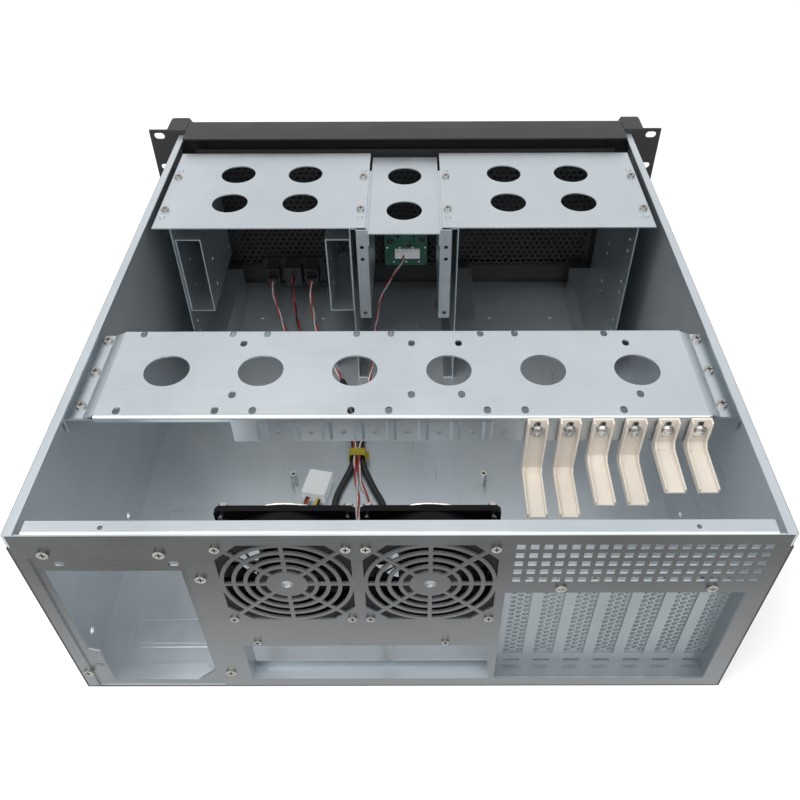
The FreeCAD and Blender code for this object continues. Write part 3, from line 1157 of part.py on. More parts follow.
def front_panel():
    """The steel front plate with its rack ears, its window and the lip over the shell."""
    body = new_body("front")
    face = Drawing(body, "front_face", "XZ", -panel_rear)
    half = d.panel_width / 2
    face.rectangle((-half, half), (0, d.panel_height))
    pad(body, face, d.panel_steel, "front_sheet")
    cuts = Drawing(body, "front_cuts", "XZ", -(ear_y - 1))
    reach = d.panel_window_width / 2
    cuts.rectangle((-reach, reach), (d.panel_window_low, d.panel_window_high))
    pocket(body, cuts, d.panel_steel + 2, "front_window")
    lip = block("front_lip", (-d.bezel_width / 2, d.bezel_width / 2),
                (ear_y, back(d.panel_steel + d.panel_lip)),
                (d.panel_height - d.steel, d.panel_height))
    tools = []
    for side, word in ((1, "left"), (-1, "right")):
        for index, z in enumerate((d.ear_slot_low, d.ear_slot_low + d.ear_slot_pair,
                                   d.ear_slot_low + d.ear_slot_span - d.ear_slot_pair,
                                   d.ear_slot_low + d.ear_slot_span)):
            tools.append(obround(f"front_ear_{word}_{index}", signed(side, d.ear_slot_spacing / 2), z,
                                 d.ear_slot_length, d.ear_slot_width, (ear_y - 1, panel_rear + 1)))
    return finish(cut("front_cut", fuse("front_whole", [body, lip]), tools), "front_panel")


def rounded(name, body, radius, chooses):
    """Round the edges of a body that a test picks out."""
    doc.recompute()
    names = [f"Edge{index}" for index, edge in enumerate(body.Shape.Edges, start=1) if chooses(edge)]
    base = body.Tip
    item = body.newObject("PartDesign::Fillet", name)
    item.Base = (base, names)
    item.Radius = as_size(radius).value
    bind(item, "Radius", radius)
    doc.recompute()
    return item


def runs_along_x(edge):
    """Whether a straight edge lies along x."""
    return abs(edge.BoundBox.XLength - edge.Length) < 1e-6


def rack_handle(side, word):
    """A bar handle standing in front of one ear, bowed out of a single piece."""
    low, high = mirrored(side, d.handle_inner_x, d.handle_inner_x + d.handle_width)
    front, inner = ear_y - d.handle_reach, ear_y - d.handle_reach + d.handle_bar
    foot = d.handle_foot
    tall = d.panel_height
    name = f"handle_{word}"
    body = new_body(name)
    drawing = Drawing(body, f"{name}_side", "YZ", low)
    drawing.polygon([(ear_y, 0), (ear_y, foot), (inner + d.handle_round, foot),
                     (inner, foot + d.handle_round),
                     (inner, tall - foot - d.handle_round), (inner + d.handle_round, tall - foot),
                     (ear_y, tall - foot), (ear_y, tall), (front + d.handle_round * 2, tall),
                     (front, tall - d.handle_round * 2), (front, d.handle_round * 2),
                     (front + d.handle_round * 2, 0)])
    pad(body, drawing, high - low, f"{name}_pad")
    plane = ear_y.value
    rounded(f"{name}_edges", body, d.handle_edge, lambda edge: edge.BoundBox.XLength < 1e-6
            and edge.BoundBox.YMax < plane - 0.5)
    return finish(body, f"handle_{word}")


def front_bezel():
    """The plastic face moulding: a hollow tray with louvres and two button openings."""
    half = d.bezel_width / 2
    wall = d.bezel_wall
    body = new_body("bezel")
    face = Drawing(body, "bezel_face", "XZ", -ear_y)
    face.rectangle((-half, half), (0, d.panel_height))
    pad(body, face, d.bezel_depth, "bezel_block")
    plane = bezel_front.value
    rounded("bezel_edges", body, d.bezel_round, lambda edge: edge.BoundBox.YMax < plane + 0.1
            and runs_along_x(edge))
    hollow = Drawing(body, "bezel_hollow", "XZ", -(bezel_front + wall))
    hollow.rectangle((wall - half, half - wall), (wall, d.panel_height - wall))
    pocket(body, hollow, d.bezel_depth - wall + 1, "bezel_hollow_cut")
    slots = Drawing(body, "bezel_slots", "XZ", -(bezel_front - 1))
    for side in (1, -1):
        slots.rectangle(mirrored(side, d.louvre_inner_x, d.louvre_inner_x + d.louvre_length),
                        about(d.louvre_low_z, d.louvre_height))
    row = pocket(body, slots, wall + 2, "bezel_slot_row")
    rows = int(d.louvre_count.value)
    repeat(body, row, "Z_Axis", d.louvre_pitch * (rows - 1), rows, "bezel_slot_rows")
    span = (bezel_front - 1, bezel_front + wall + 1)
    tools = [rod("bezel_power_hole", "y", d.power_radius + d.button_gap, d.power_x, span, d.button_z),
             rod("bezel_reset_hole", "y", d.reset_radius + d.button_gap, d.reset_x, span, d.button_z)]
    return finish(cut("bezel_cut", body, tools), "front_bezel")


grille_rear = back(d.grille_back_y)
grille_front = grille_rear - d.steel
board_front = grille_rear + d.board_boss
board_rear = board_front + d.board_thick


def front_grille():
    """The sheet standing behind the front panel, with a ledge folded forward along its foot."""
    reach = d.panel_window_width / 2 - 1
    sheet = block("grille_sheet", (-reach, reach), (grille_front, grille_rear),
                  (d.grille_low_z, d.grille_high_z))
    ledge = block("grille_ledge", (-reach, reach), (panel_rear, grille_rear),
                  (d.grille_low_z, d.grille_low_z + d.steel))
    crown = block("grille_crown", (-reach, reach), (panel_rear, grille_rear),
                  (d.grille_high_z - d.steel, d.grille_high_z))
    lips = [block(f"grille_lip_{word}", (-reach, reach), (panel_rear, panel_rear + d.steel), span)
            for word, span in (("low", (d.panel_window_low - 8, d.grille_low_z)),
                               ("high", (d.grille_high_z, d.panel_window_high + 8)))]
    tools = [rod(f"grille_stem_{word}", "y", d.stem_radius + d.button_gap, x,
                 (grille_front - 1, grille_rear + 1), d.button_z)
             for word, x in (("power", d.power_x), ("reset", d.reset_x))]
    posts = [rod(f"grille_post_{side}_{word}", "y", d.board_boss_radius, signed(side, d.board_post_x),
                 (grille_rear - 0.1, board_front), z)
             for side in (1, -1)
             for word, z in (("low", d.board_low_z + 4), ("high", d.board_high_z - 4))]
    whole = fuse("grille_whole", [sheet, ledge, crown] + lips + posts)
    return finish(cut("grille_cut", whole, tools), "front_grille")


def push_button(word, x, radius):
    """A round button cap on a stem that reaches back to its switch."""
    name = f"{word}_button"
    front = bezel_front - d.button_proud
    cap = rod(f"{name}_cap", "y", radius, x, (front, front + d.button_cap), d.button_z)
    stem = rod(f"{name}_stem", "y", d.stem_radius, x,
               (front + d.button_cap - 1, grille_rear - d.button_travel - 0.2), d.button_z)
    collar = rod(f"{name}_collar", "y", radius + d.button_gap * 4, x,
                 (bezel_front + d.bezel_wall + 0.2, front + d.button_cap), d.button_z)
    return finish(fuse(f"{name}_whole", [cap, stem, collar]), name)


switch_rear = grille_rear + d.steel + d.switch_depth + d.terminal_length


def switch_panel():
    """A strip carrying the two switch bodies with their terminals and a socket block."""
    rear = grille_rear + d.steel
    z = d.button_z
    low, high = z - d.switch_height / 2 - d.strip_low, z + d.switch_height / 2 + d.strip_high
    pieces = [block("switch_strip", (d.reset_x - d.strip_reset_end, d.power_x + d.strip_power_end),
                    (grille_rear, rear), (low, high))]
    for word, x in (("power", d.power_x), ("reset", d.reset_x)):
        back_end = rear + d.switch_depth
        pieces.append(block(f"switch_{word}_body", about(x, d.switch_width), (rear - 0.1, back_end),
                            about(z, d.switch_height)))
        pieces.append(block(f"switch_{word}_tail", about(x, d.tail_width), (back_end - 0.1, switch_rear),
                            about(z, d.tail_height)))
        for side in (1, -1):
            pieces.append(block(f"switch_{word}_terminal_{side}",
                                about(x + side * d.switch_width / 4, d.terminal_width),
                                (back_end - 0.1, back_end + d.terminal_length / 2),
                                about(z + d.terminal_rise, d.terminal_thick)))
    pieces.append(block("switch_socket", about(d.port_x, d.port_width), (rear - 0.1, rear + d.port_depth),
                        about(z + d.port_rise, d.port_height)))
    return finish(fuse("switch_whole", pieces), "switch_panel")


def led_board():
    """The small green circuit board with its resistors."""
    sheet = block("board_sheet", (-d.board_half, d.board_half), (board_front, board_rear),
                  (d.board_low_z, d.board_high_z))
    chips = [block(f"board_chip_{index}", about(signed(side, x), d.chip_width),
                   (board_rear - 0.1, board_rear + d.chip_thick),
                   about(d.board_high_z - d.chip_drop, d.chip_height))
             for index, (side, x) in enumerate(((1, d.chip_near_x), (-1, d.chip_near_x),
                                                (1, d.chip_far_x), (-1, d.chip_far_x)))]
    tools = [rod(f"board_hole_{side}", "y", d.board_hole_radius, signed(side, d.board_hole_x),
                 (board_front - 1, board_rear + 2), d.board_high_z - d.board_hole_drop) for side in (1, -1)]
    return finish(cut("board_cut", fuse("board_whole", [sheet] + chips), tools), "led_board")


def board_connector():
    """The white header on the indicator board that the long lead plugs into."""
    body = block("header_body", (d.plug_right_x, d.plug_left_x), (board_rear, board_rear + d.plug_depth),
                 (d.plug_low_z, d.plug_high_z))
    return finish(body, "board_connector")


# ---- wiring --------------------------------------------------------------------------------------------

def routed(spots, radius):
    """A tube along straight runs through the spots, joined by tangent arcs."""
    points = [Vector(x, ear_y.value + y, z) for x, y, z in spots]
    edges = []
    start = points[0]
    bends = []
    for before, corner, after in zip(points, points[1:], points[2:]):
        to_before, to_after = before - corner, after - corner
        turn = math.pi - to_before.getAngle(to_after)
        shorter = min(to_before.Length, to_after.Length)
        bend = 0.45 * shorter / math.tan(turn / 2)
        trim = 0.45 * shorter
        bends.append(round(bend, 1))
        first = corner + to_before.normalize() * trim
        last = corner + to_after.normalize() * trim
        middle = (to_before + to_after).normalize()
        centre_distance = math.hypot(bend, trim)
        middle_spot = corner + middle * (centre_distance - bend)
        edges.append(Part.LineSegment(start, first).toShape())
        edges.append(Part.Arc(first, middle_spot, last).toShape())
        start = last
    edges.append(Part.LineSegment(start, points[-1]).toShape())
    path = Part.Wire(edges)
    ring = Part.Wire([Part.Circle(points[0], points[1] - points[0], radius.value).toShape()])
    tube = path.makePipeShell([ring], True, False)
    drift = tube.Volume / (math.pi * radius.value ** 2 * path.Length) - 1
    print(f"bend radii {bends} length {path.Length:.1f} volume drift {drift:.4f}")
    return tube


def cord(name, spots, radius):
    """A cord: its tube, kept as one node."""
    item = doc.addObject("Part::Feature", f"{name}_tube")
    item.Shape = routed(spots, radius)
    return finish(item, name)


def wiring():
    """The four front leads and the two fan leads, lying on the floor and drawn together by the tie."""
    cord("board_lead", BOARD_LEAD, d.pair_radius)
    cord("power_lead", POWER_LEAD, d.pair_radius)
    cord("port_lead", PORT_LEAD, d.sleeve_radius)
    cord("reset_lead", RESET_LEAD, d.sleeve_radius)
    cord("fan_lead_left", FAN_LEAD_LEFT, d.fan_lead_radius)
    cord("fan_lead_right", FAN_LEAD_RIGHT, d.fan_lead_radius)


# Routes: x, the distance behind the ear plane, z.
BOARD_LEAD = [
    (2.0, 36.6, 59.0), (2.0, 47.0, 59.0), (15.0, 56.0, 46.0), (26.0, 63.0, 27.0), (30.5, 79.0, 8.0),
    (31.0, 106.0, 2.7), (32.2, 138.0, 2.7), (35.6, 172.0, 2.7), (33.6, 201.0, 2.7), (33.8, 224.0, 8.2),
    (38.6, 244.0, 10.4), (38.9, 266.0, 10.2), (38.6, 280.0, 6.4), (35.2, 292.0, 2.7), (30.0, 302.0, 2.7),
    (25.4, 316.0, 2.7), (22.8, 331.0, 2.7), (22.8, 345.0, 2.7),
]
POWER_LEAD = [
    (138.0, 39.4, 30.0), (138.0, 50.0, 30.0), (132.0, 65.0, 18.0), (124.0, 84.0, 6.0), (116.0, 107.0, 2.7),
    (101.0, 138.0, 2.7), (84.0, 168.0, 2.7), (69.0, 196.0, 2.7), (56.4, 216.0, 4.0), (49.4, 234.0, 9.6),
    (42.9, 248.0, 10.4), (42.7, 266.0, 10.2), (41.7, 279.0, 6.6), (39.8, 292.0, 2.7), (37.6, 307.0, 2.7),
    (36.9, 327.0, 2.7), (36.9, 345.0, 2.7),
]
PORT_LEAD = [
    (117.0, 33.4, 31.0), (117.0, 48.0, 31.0), (113.0, 70.0, 15.0), (107.0, 93.0, 4.0), (94.0, 124.0, 4.0),
    (76.0, 154.0, 4.0), (61.0, 184.0, 4.0), (50.0, 212.0, 4.0), (44.0, 244.0, 5.1), (43.4, 268.0, 5.1),
    (50.5, 286.0, 4.0), (56.6, 303.0, 4.0), (57.5, 325.0, 4.0), (57.5, 345.0, 4.0),
]
RESET_LEAD = [
    (98.0, 39.4, 30.0), (98.0, 53.0, 30.0), (95.0, 73.0, 16.0), (89.0, 95.0, 4.0), (78.0, 125.0, 4.0),
    (64.0, 153.0, 4.0), (52.0, 183.0, 4.0), (42.5, 212.0, 4.0), (37.8, 244.0, 5.1), (36.7, 268.0, 5.1),
    (30.4, 283.0, 4.0), (24.6, 297.0, 4.0), (17.6, 310.0, 4.0), (14.0, 328.0, 4.0), (14.0, 345.0, 4.0),
]
FAN_LEAD_LEFT = [
    (79.2, 304.6, 5.2), (81.7, 316.34, 5.2), (84.6, 336.0, 3.3), (87.5, 362.0, 3.3), (91.4, 389.0, 3.3),
    (93.4, 411.0, 4.4), (93.6, 428.0, 14.0), (92.6, 438.0, 32.0), (92.0, 440.0, 58.0), (92.0, 440.0, 84.0),
]
FAN_LEAD_RIGHT = [
    (70.4, 306.47, 5.2), (72.9, 318.21, 5.2), (73.4, 338.0, 3.3), (67.0, 363.0, 3.3), (47.0, 385.0, 3.3),
    (26.0, 402.0, 3.3), (15.4, 420.0, 7.0), (12.4, 434.0, 24.0), (12.0, 440.0, 55.0), (12.0, 440.0, 84.0),
]


def lead_connectors():
    """The small black connectors at the free ends of the four front leads."""
    pieces = []
    deep = (back(d.lead_end_y), back(d.lead_end_y + d.lead_plug_length))
    for name, route, width, height in (
            ("board", BOARD_LEAD, d.pair_plug_width, d.pair_plug_height),
            ("power", POWER_LEAD, d.pair_plug_width, d.pair_plug_height),
            ("port", PORT_LEAD, d.sleeve_plug_width, d.sleeve_plug_height),
            ("reset", RESET_LEAD, d.sleeve_plug_width, d.sleeve_plug_height)):
        pieces.append(block(f"lead_plug_{name}", about(as_size(route[-1][0]), width), deep,
                            (floor_z, floor_z + height)))
    return finish(group("lead_plugs", pieces), "lead_connectors")


def cable_tie():
    """The yellow band round the four leads, with its knot on one side."""
    deep = (back(d.tie_front_y), back(d.tie_front_y + d.tie_width))
    wall = d.tie_wall
    outer = block("tie_outer", (d.tie_right_x - wall, d.tie_left_x + wall), deep,
                  (d.tie_low_z - wall, d.tie_high_z + wall))
    knot = block("tie_knot", (d.tie_right_x - wall * 4, d.tie_right_x - wall / 2),
                 (deep[0] + 2, deep[1] - 2), (d.tie_low_z + 2, d.tie_high_z - 2))
    inner = block("tie_inner", (d.tie_right_x, d.tie_left_x), (deep[0] - 1, deep[1] + 1),
                  (d.tie_low_z, d.tie_high_z))
    return finish(cut("tie_cut", fuse("tie_whole", [outer, knot]), [inner]), "cable_tie")


def power_plug():
    """The white four-way plug at the end of the fan leads, lying askew on the floor."""
    name = "fan_plug"
    body = new_body(name)
    half_long, half_wide = d.power_plug_length / 2, d.power_plug_width / 2
    plan = Drawing(body, f"{name}_plan", "XY", 0)
    plan.polygon([(-half_wide, -half_long), (half_wide, -half_long), (half_wide, half_long),
                  (-half_wide, half_long)])
    pad(body, plan, d.power_plug_height, f"{name}_pad")
    sockets = Drawing(body, f"{name}_sockets", "XZ", half_long + 1)
    for index in range(4):
        sockets.circle(d.power_plug_width * (index - 1.5) / 4, d.power_plug_height / 2, d.power_plug_socket)
    pocket(body, sockets, as_size(9), f"{name}_socket_cut")
    body.Placement = Placement(Vector(), Rotation(Vector(0, 0, 1), d.power_plug_turn.value))
    for axis, size in zip("xyz", (d.power_plug_x, back(d.power_plug_y), floor_z)):
        bind(body, f"Placement.Base.{axis}", size)
    return finish(body, "power_plug")


# ---- the whole case --------------------------------------------------------------------------------------

chassis_tub()
board_standoffs()
rear_panel()
psu_frame()
slot_bracket()
for slot_index, slot_middle in enumerate(slot_middles(), start=1):
    slot_cover(slot_index, slot_middle)
panel_screws()
fan_screws()
for fan_name, fan_x in fan_spots():
    fan_frame(fan_name, fan_x)
    fan_rotor(fan_name, fan_x)
finger_guards()
crossbar()
crossbar_brackets()
clamp_rail()
for clamp_number, clamp_foot in enumerate((d.clamp_long_z, d.clamp_long_z, d.clamp_medium_z, d.clamp_medium_z,
                                           d.clamp_short_z, d.clamp_short_z), start=1):
    card_clamp(clamp_number, clamp_foot)
clamp_screws()
for cage_side, cage_word in ((1, "left"), (-1, "right")):
    cage_top(cage_side, cage_word)
    bay_wall(cage_side, cage_word, "outer")
    bay_wall(cage_side, cage_word, "inner")
    tower_bracket(cage_side, cage_word)
    rack_handle(cage_side, cage_word)
middle_plate()
adapter_channel("outer")
adapter_channel("inner")
frame_screws()
front_panel()
front_bezel()
front_grille()
push_button("power", d.power_x, d.power_radius)
push_button("reset", d.reset_x, d.reset_radius)
switch_panel()
led_board()
board_connector()
wiring()
lead_connectors()
cable_tie()
power_plug()

doc.recompute()
for item in doc.Objects:
    for word in ("Invalid", "Error"):
        if word in item.State:
            raise ValueError(f"{item.Name} ({item.Label}) is {item.State}")
os.makedirs("parts", exist_ok=True)
for item in nodes:
    if item.Shape.isNull() or not item.Shape.isValid():
        raise ValueError(f"{item.Label} has no valid shape")
    item.Shape.exportStep(f"parts/{item.Label}.step")
    print(item.Label, len(item.Shape.Solids), round(item.Shape.Volume, 1))
print(len(nodes), "nodes")
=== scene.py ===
import logging
import math
from dataclasses import dataclass, field
from enum import Enum
from typing import Any, Sequence, Union

import bmesh
import bpy
from bpy.types import Material, Mesh, Node, NodeSocket, NodeTree, Object
from mathutils import Euler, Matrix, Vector


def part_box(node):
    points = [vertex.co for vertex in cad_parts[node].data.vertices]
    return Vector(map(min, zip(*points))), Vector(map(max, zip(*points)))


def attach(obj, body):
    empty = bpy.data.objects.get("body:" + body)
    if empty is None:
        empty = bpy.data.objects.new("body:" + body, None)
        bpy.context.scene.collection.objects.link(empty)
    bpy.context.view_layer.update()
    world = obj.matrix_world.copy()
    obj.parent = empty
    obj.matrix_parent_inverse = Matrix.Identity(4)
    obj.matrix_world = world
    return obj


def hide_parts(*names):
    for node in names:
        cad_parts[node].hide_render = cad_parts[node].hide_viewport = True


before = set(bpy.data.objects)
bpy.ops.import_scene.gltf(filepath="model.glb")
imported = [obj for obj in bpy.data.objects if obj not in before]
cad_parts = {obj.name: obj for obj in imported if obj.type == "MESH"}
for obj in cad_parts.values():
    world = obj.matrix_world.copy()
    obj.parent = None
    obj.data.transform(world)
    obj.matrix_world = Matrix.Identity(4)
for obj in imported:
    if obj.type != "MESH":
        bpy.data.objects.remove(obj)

logging.basicConfig(level=logging.INFO, format="%(message)s")
log = logging.getLogger("server_case")

Colour = tuple[float, float, float]
Point = tuple[float, float, float]
Term = Union["Signal", NodeSocket, float]
MM = 0.001
TOUCH = 0.001 * MM
CASE_BODY = "case"


class Axis(Enum):
    """A direction of the case's own frame."""

    X = 0
    Y = 1
    Z = 2


class Graph:
    """A node tree, with one way to add any node."""

    def __init__(self, tree: NodeTree) -> None:
        """Start with the tree empty."""
        self.tree = tree
        self.tree.nodes.clear()

    def node(self, kind: str, settings: dict[str, Any], inputs: dict[Any, Any]) -> Node:
        """Add one node of any kind.

        Args:
            kind: the node type after "ShaderNode".
            settings: attributes set before the sockets.
            inputs: socket names or indices, with a value, a Signal or a socket each.

        Returns:
            The new node.
        """
        made = self.tree.nodes.new("ShaderNode" + kind)
        for key, value in settings.items():
            setattr(made, key, value)
        for key, value in inputs.items():
            self.feed(made.inputs[key], value)
        return made

    def feed(self, socket: NodeSocket, value: Any) -> None:
        """Give a socket a constant or a link.

        Args:
            socket: the input socket.
            value: a number, a tuple, a Signal or an output socket.
        """
        if isinstance(value, Signal):
            value = value.socket
        if isinstance(value, NodeSocket):
            self.tree.links.new(value, socket)
        elif isinstance(value, tuple) and len(value) == 3 and socket.type == "RGBA":
            socket.default_value = (*value, 1.0)
        else:
            socket.default_value = value

    def place(self) -> NodeSocket:
        """Return the position of the shaded point in the object's own frame, in metres."""
        return self.node("TexCoord", {}, {}).outputs["Object"]

    def along(self) -> list["Signal"]:
        """Return the x, y and z of the shaded point as three signals."""
        parts = self.node("SeparateXYZ", {}, {"Vector": self.place()})
        return [Signal(self, parts.outputs[index]) for index in range(3)]

    def noise(self, scale: float, detail: float = 3.0, stretch: Point = (1.0, 1.0, 1.0)) -> "Signal":
        """Return a noise from 0 to 1 over the surface.

        Args:
            scale: features per metre.
            detail: octaves.
            stretch: factors on x, y and z; a small one draws the noise out along that axis.

        Returns:
            The noise as a signal.
        """
        scaled = self.node("VectorMath", {"operation": "MULTIPLY"}, {0: self.place(), 1: stretch})
        made = self.node("TexNoise", {}, {"Vector": scaled.outputs[0], "Scale": scale, "Detail": detail})
        return Signal(self, made.outputs["Fac"])

    def spread(self, signal: "Signal", low: float, high: float,
               out: tuple[float, float] = (0.0, 1.0)) -> "Signal":
        """Return a signal's range mapped to another, held at its ends.

        Args:
            signal: the signal.
            low: input that gives out[0].
            high: input that gives out[1].
            out: the two results.

        Returns:
            The mapped signal.
        """
        made = self.node("MapRange", {"clamp": True}, {"Value": signal, "From Min": low, "From Max": high,
                                                       "To Min": out[0], "To Max": out[1]})
        return Signal(self, made.outputs["Result"])

    def mix(self, share: Term, first: Any, second: Any) -> NodeSocket:
        """Return a blend of two colours.

        Args:
            share: how much of the second, from 0 to 1.
            first: a colour or a socket.
            second: a colour or a socket.

        Returns:
            The blended colour's socket.
        """
        made = self.node("Mix", {"data_type": "RGBA"}, {0: share, 6: first, 7: second})
        return made.outputs[2]

    def bump(self, height: "Signal", depth: float, strength: float = 1.0) -> NodeSocket:
        """Return a normal bent by a height.

        Args:
            height: the height signal, about 0 to 1.
            depth: the real depth of one unit, in metres.
            strength: how much of it is felt.

        Returns:
            The normal's socket.
        """
        made = self.node("Bump", {}, {"Height": height, "Distance": depth, "Strength": strength})
        return made.outputs["Normal"]


class MaterialGraph(Graph):
    """The node tree of one material, with the shader that its finish feeds."""

    def __init__(self, name: str) -> None:
        """Start a material with a shader and an output.

        Args:
            name: the material's name.
        """
        self.material = bpy.data.materials.new(name)
        self.material.use_nodes = True
        super().__init__(self.material.node_tree)
        self.shader = self.node("BsdfPrincipled", {}, {})
        self.node("OutputMaterial", {}, {"Surface": self.shader.outputs["BSDF"]})

    def finish(self, **sockets: Any) -> None:
        """Feed the shader's sockets.

        Args:
            sockets: shader socket names, with underscores for spaces.
        """
        for name, value in sockets.items():
            self.feed(self.shader.inputs[name.replace("_", " ")], value)


class Signal:
    """A number that varies over a surface: Python's operators add Math nodes to its tree."""

    def __init__(self, graph: Graph, socket: NodeSocket) -> None:
        """Wrap a socket of a graph."""
        self.graph = graph
        self.socket = socket

    def maths(self, operation: str, *terms: Term, swap: bool = False) -> "Signal":
        """Return the result of one Math node.

        Args:
            operation: the Math node's operation.
            terms: the other operands.
            swap: whether this signal comes second.

        Returns:
            The result.
        """
        values = [*terms, self] if swap else [self, *terms]
        made = self.graph.node("Math", {"operation": operation}, dict(enumerate(values)))
        return Signal(self.graph, made.outputs[0])

    def __add__(self, other: Term) -> "Signal":
        """Return the sum."""
        return self.maths("ADD", other)

    __radd__ = __add__

    def __sub__(self, other: Term) -> "Signal":
        """Return the difference."""
        return self.maths("SUBTRACT", other)

    def __rsub__(self, other: Term) -> "Signal":
        """Return the difference, the other way round."""
        return self.maths("SUBTRACT", other, swap=True)

    def __mul__(self, other: Term) -> "Signal":
        """Return the product."""
        return self.maths("MULTIPLY", other)

    __rmul__ = __mul__

    def __truediv__(self, other: Term) -> "Signal":
        """Return the quotient."""
        return self.maths("DIVIDE", other)

    def __rtruediv__(self, other: Term) -> "Signal":
        """Return the quotient, the other way round."""
        return self.maths("DIVIDE", other, swap=True)

    def __gt__(self, other: Term) -> "Signal":
        """Return 1 where this is greater, else 0."""
        return self.maths("GREATER_THAN", other)

    def __lt__(self, other: Term) -> "Signal":
        """Return 1 where this is less, else 0."""
        return self.maths("LESS_THAN", other)

    def size(self) -> "Signal":
        """Return the value without its sign."""
        return self.maths("ABSOLUTE")

    def at_least(self, other: Term) -> "Signal":
        """Return the larger of the two."""
        return self.maths("MAXIMUM", other)

    def cell(self) -> "Signal":
        """Return the whole part."""
        return self.maths("FLOOR")

    def within(self) -> "Signal":
        """Return the part after the whole."""
        return self.maths("FRACT")


class Finish:
    """A finish of the case, which its own lay method spreads over a shader."""

    def build(self, name: str) -> Material:
        """Make the material.

        Args:
            name: the material's name.

        Returns:
            The material.
        """
        graph = MaterialGraph(name)
        self.lay(graph)
        return graph.material

    def lay(self, graph: MaterialGraph) -> None:
        """Feed the shader of a graph."""
        raise NotImplementedError


@dataclass(frozen=True)
class ZincSheet(Finish):
    """Zinc-plated sheet steel: a satin cool grey with rolled grain, clouds and light handling marks."""

    colour: Colour = (0.585, 0.635, 0.67)
    shade: Colour = (0.475, 0.525, 0.56)
    roughness: tuple[float, float] = (0.26, 0.42)
    grain: Axis = Axis.X
    metal: float = 0.88
    painted_outside: bool = False
    # Node whose rearmost face gets a painted reflection, with the reflection's two tones at its top and its
    # foot.
    painted_reflection_node: str = ""
    reflection_top_tone: Colour = (0.055, 0.056, 0.055)
    reflection_foot_tone: Colour = (0.25, 0.265, 0.275)
    paint_tone: Colour = (0.014, 0.014, 0.016)
    paint_rough: float = 0.5
    drawn_out: float = 0.03
    relief: float = 0.012 * MM
    skin: float = 0.25 * MM
    face_skin: float = 0.2 * MM
    rim_inset: float = 1.2 * MM
    rim_drop: float = 12.0 * MM

    def lay(self, graph: MaterialGraph) -> None:
        """Feed the shader.

        Args:
            graph: the material's nodes.
        """
        stretch = [1.0, 1.0, 1.0]
        stretch[self.grain.value] = self.drawn_out
        streaks = graph.noise(900.0, 4.0, tuple(stretch))
        clouds = graph.noise(9.0, 4.0)
        smears = graph.noise(38.0, 5.0, (1.0, 0.6, 1.0))
        spangle = graph.noise(420.0, 2.0)
        tone = graph.spread(clouds * 0.6 + smears * 0.25 + streaks * 0.25, 0.35, 0.72)
        colour = graph.mix(tone, self.shade, self.colour)
        rough = graph.spread(clouds * 0.4 + streaks * 0.35 + smears * 0.25, 0.35, 0.68, self.roughness)
        metal: Any = self.metal
        height = streaks * 0.7 + spangle * 0.3
        # Painted reflection: the named node's rearmost face gets a dark tone, darkest at the top and lighter
        # towards the bottom. It stands in for the dark surroundings that real zinc would reflect there.
        if self.painted_reflection_node:
            face, rise = self._painted_reflection_mask(graph)
            painted_reflection = graph.mix(rise, self.reflection_foot_tone, self.reflection_top_tone)
            colour = graph.mix(face, colour, graph.mix(tone * 0.3, painted_reflection, self.reflection_foot_tone))
            metal = self.metal - face * 0.4
        if self.painted_outside:
            paint = self._outside(graph)
            coat = graph.noise(1500.0, 2.0)
            colour = graph.mix(paint, colour, self.paint_tone)
            rough = rough * (1.0 - paint) + paint * self.paint_rough
            metal = (1.0 - paint) * self.metal
            height = height * (1.0 - paint) + paint * coat * 3.0
        graph.finish(Base_Color=colour, Metallic=metal, Roughness=rough,
                     Normal=graph.bump(height, self.relief, 0.5))

    def _painted_reflection_mask(self, graph: Graph) -> tuple[Signal, Signal]:
        """Return where a node's rearmost face is, the face that gets the painted reflection.

        Args:
            graph: the material's nodes.

        Returns:
            1 on that face and 0 elsewhere, and the way up it from 0 to 1.
        """
        low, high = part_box(self.painted_reflection_node)
        _, y, z = graph.along()
        return y > (high[1] - self.face_skin), graph.spread(z, low[2], high[2] * 0.85)

    def _outside(self, graph: Graph) -> Signal:
        """Return where the shell is painted.

        Args:
            graph: the material's nodes.

        Returns:
            1 on its outer faces and rear cut edges, and 0 on its inside.
        """
        low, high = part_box("chassis_tub")
        x, y, z = graph.along()
        rim = high[2] - self.rim_drop
        side = x.size() > (high[0] - self.skin)
        upper = (x.size() > (high[0] - self.rim_inset - self.skin)) * (z > rim)
        under = z < (low[2] + self.skin)
        cut_edge = (y.size() > (high[1] - self.skin)) * (z < rim)
        return side.at_least(upper).at_least(under).at_least(cut_edge)


@dataclass(frozen=True)
class PowderCoat(Finish):
    """Fine-textured black powder coat on steel."""

    colour: Colour = (0.013, 0.013, 0.015)
    roughness: tuple[float, float] = (0.42, 0.6)
    texture: float = 1300.0
    relief: float = 0.05 * MM

    def lay(self, graph: MaterialGraph) -> None:
        """Feed the shader.

        Args:
            graph: the material's nodes.
        """
        speckle = graph.noise(self.texture, 3.0)
        dust = graph.noise(30.0, 5.0)
        lighter = tuple(part * 1.9 + 0.004 for part in self.colour)
        colour = graph.mix(graph.spread(dust * 0.6 + speckle * 0.4, 0.4, 0.75), self.colour, lighter)
        rough = graph.spread(speckle * 0.5 + dust * 0.5, 0.35, 0.7, self.roughness)
        graph.finish(Base_Color=colour, Roughness=rough, Normal=graph.bump(speckle, self.relief, 0.7))


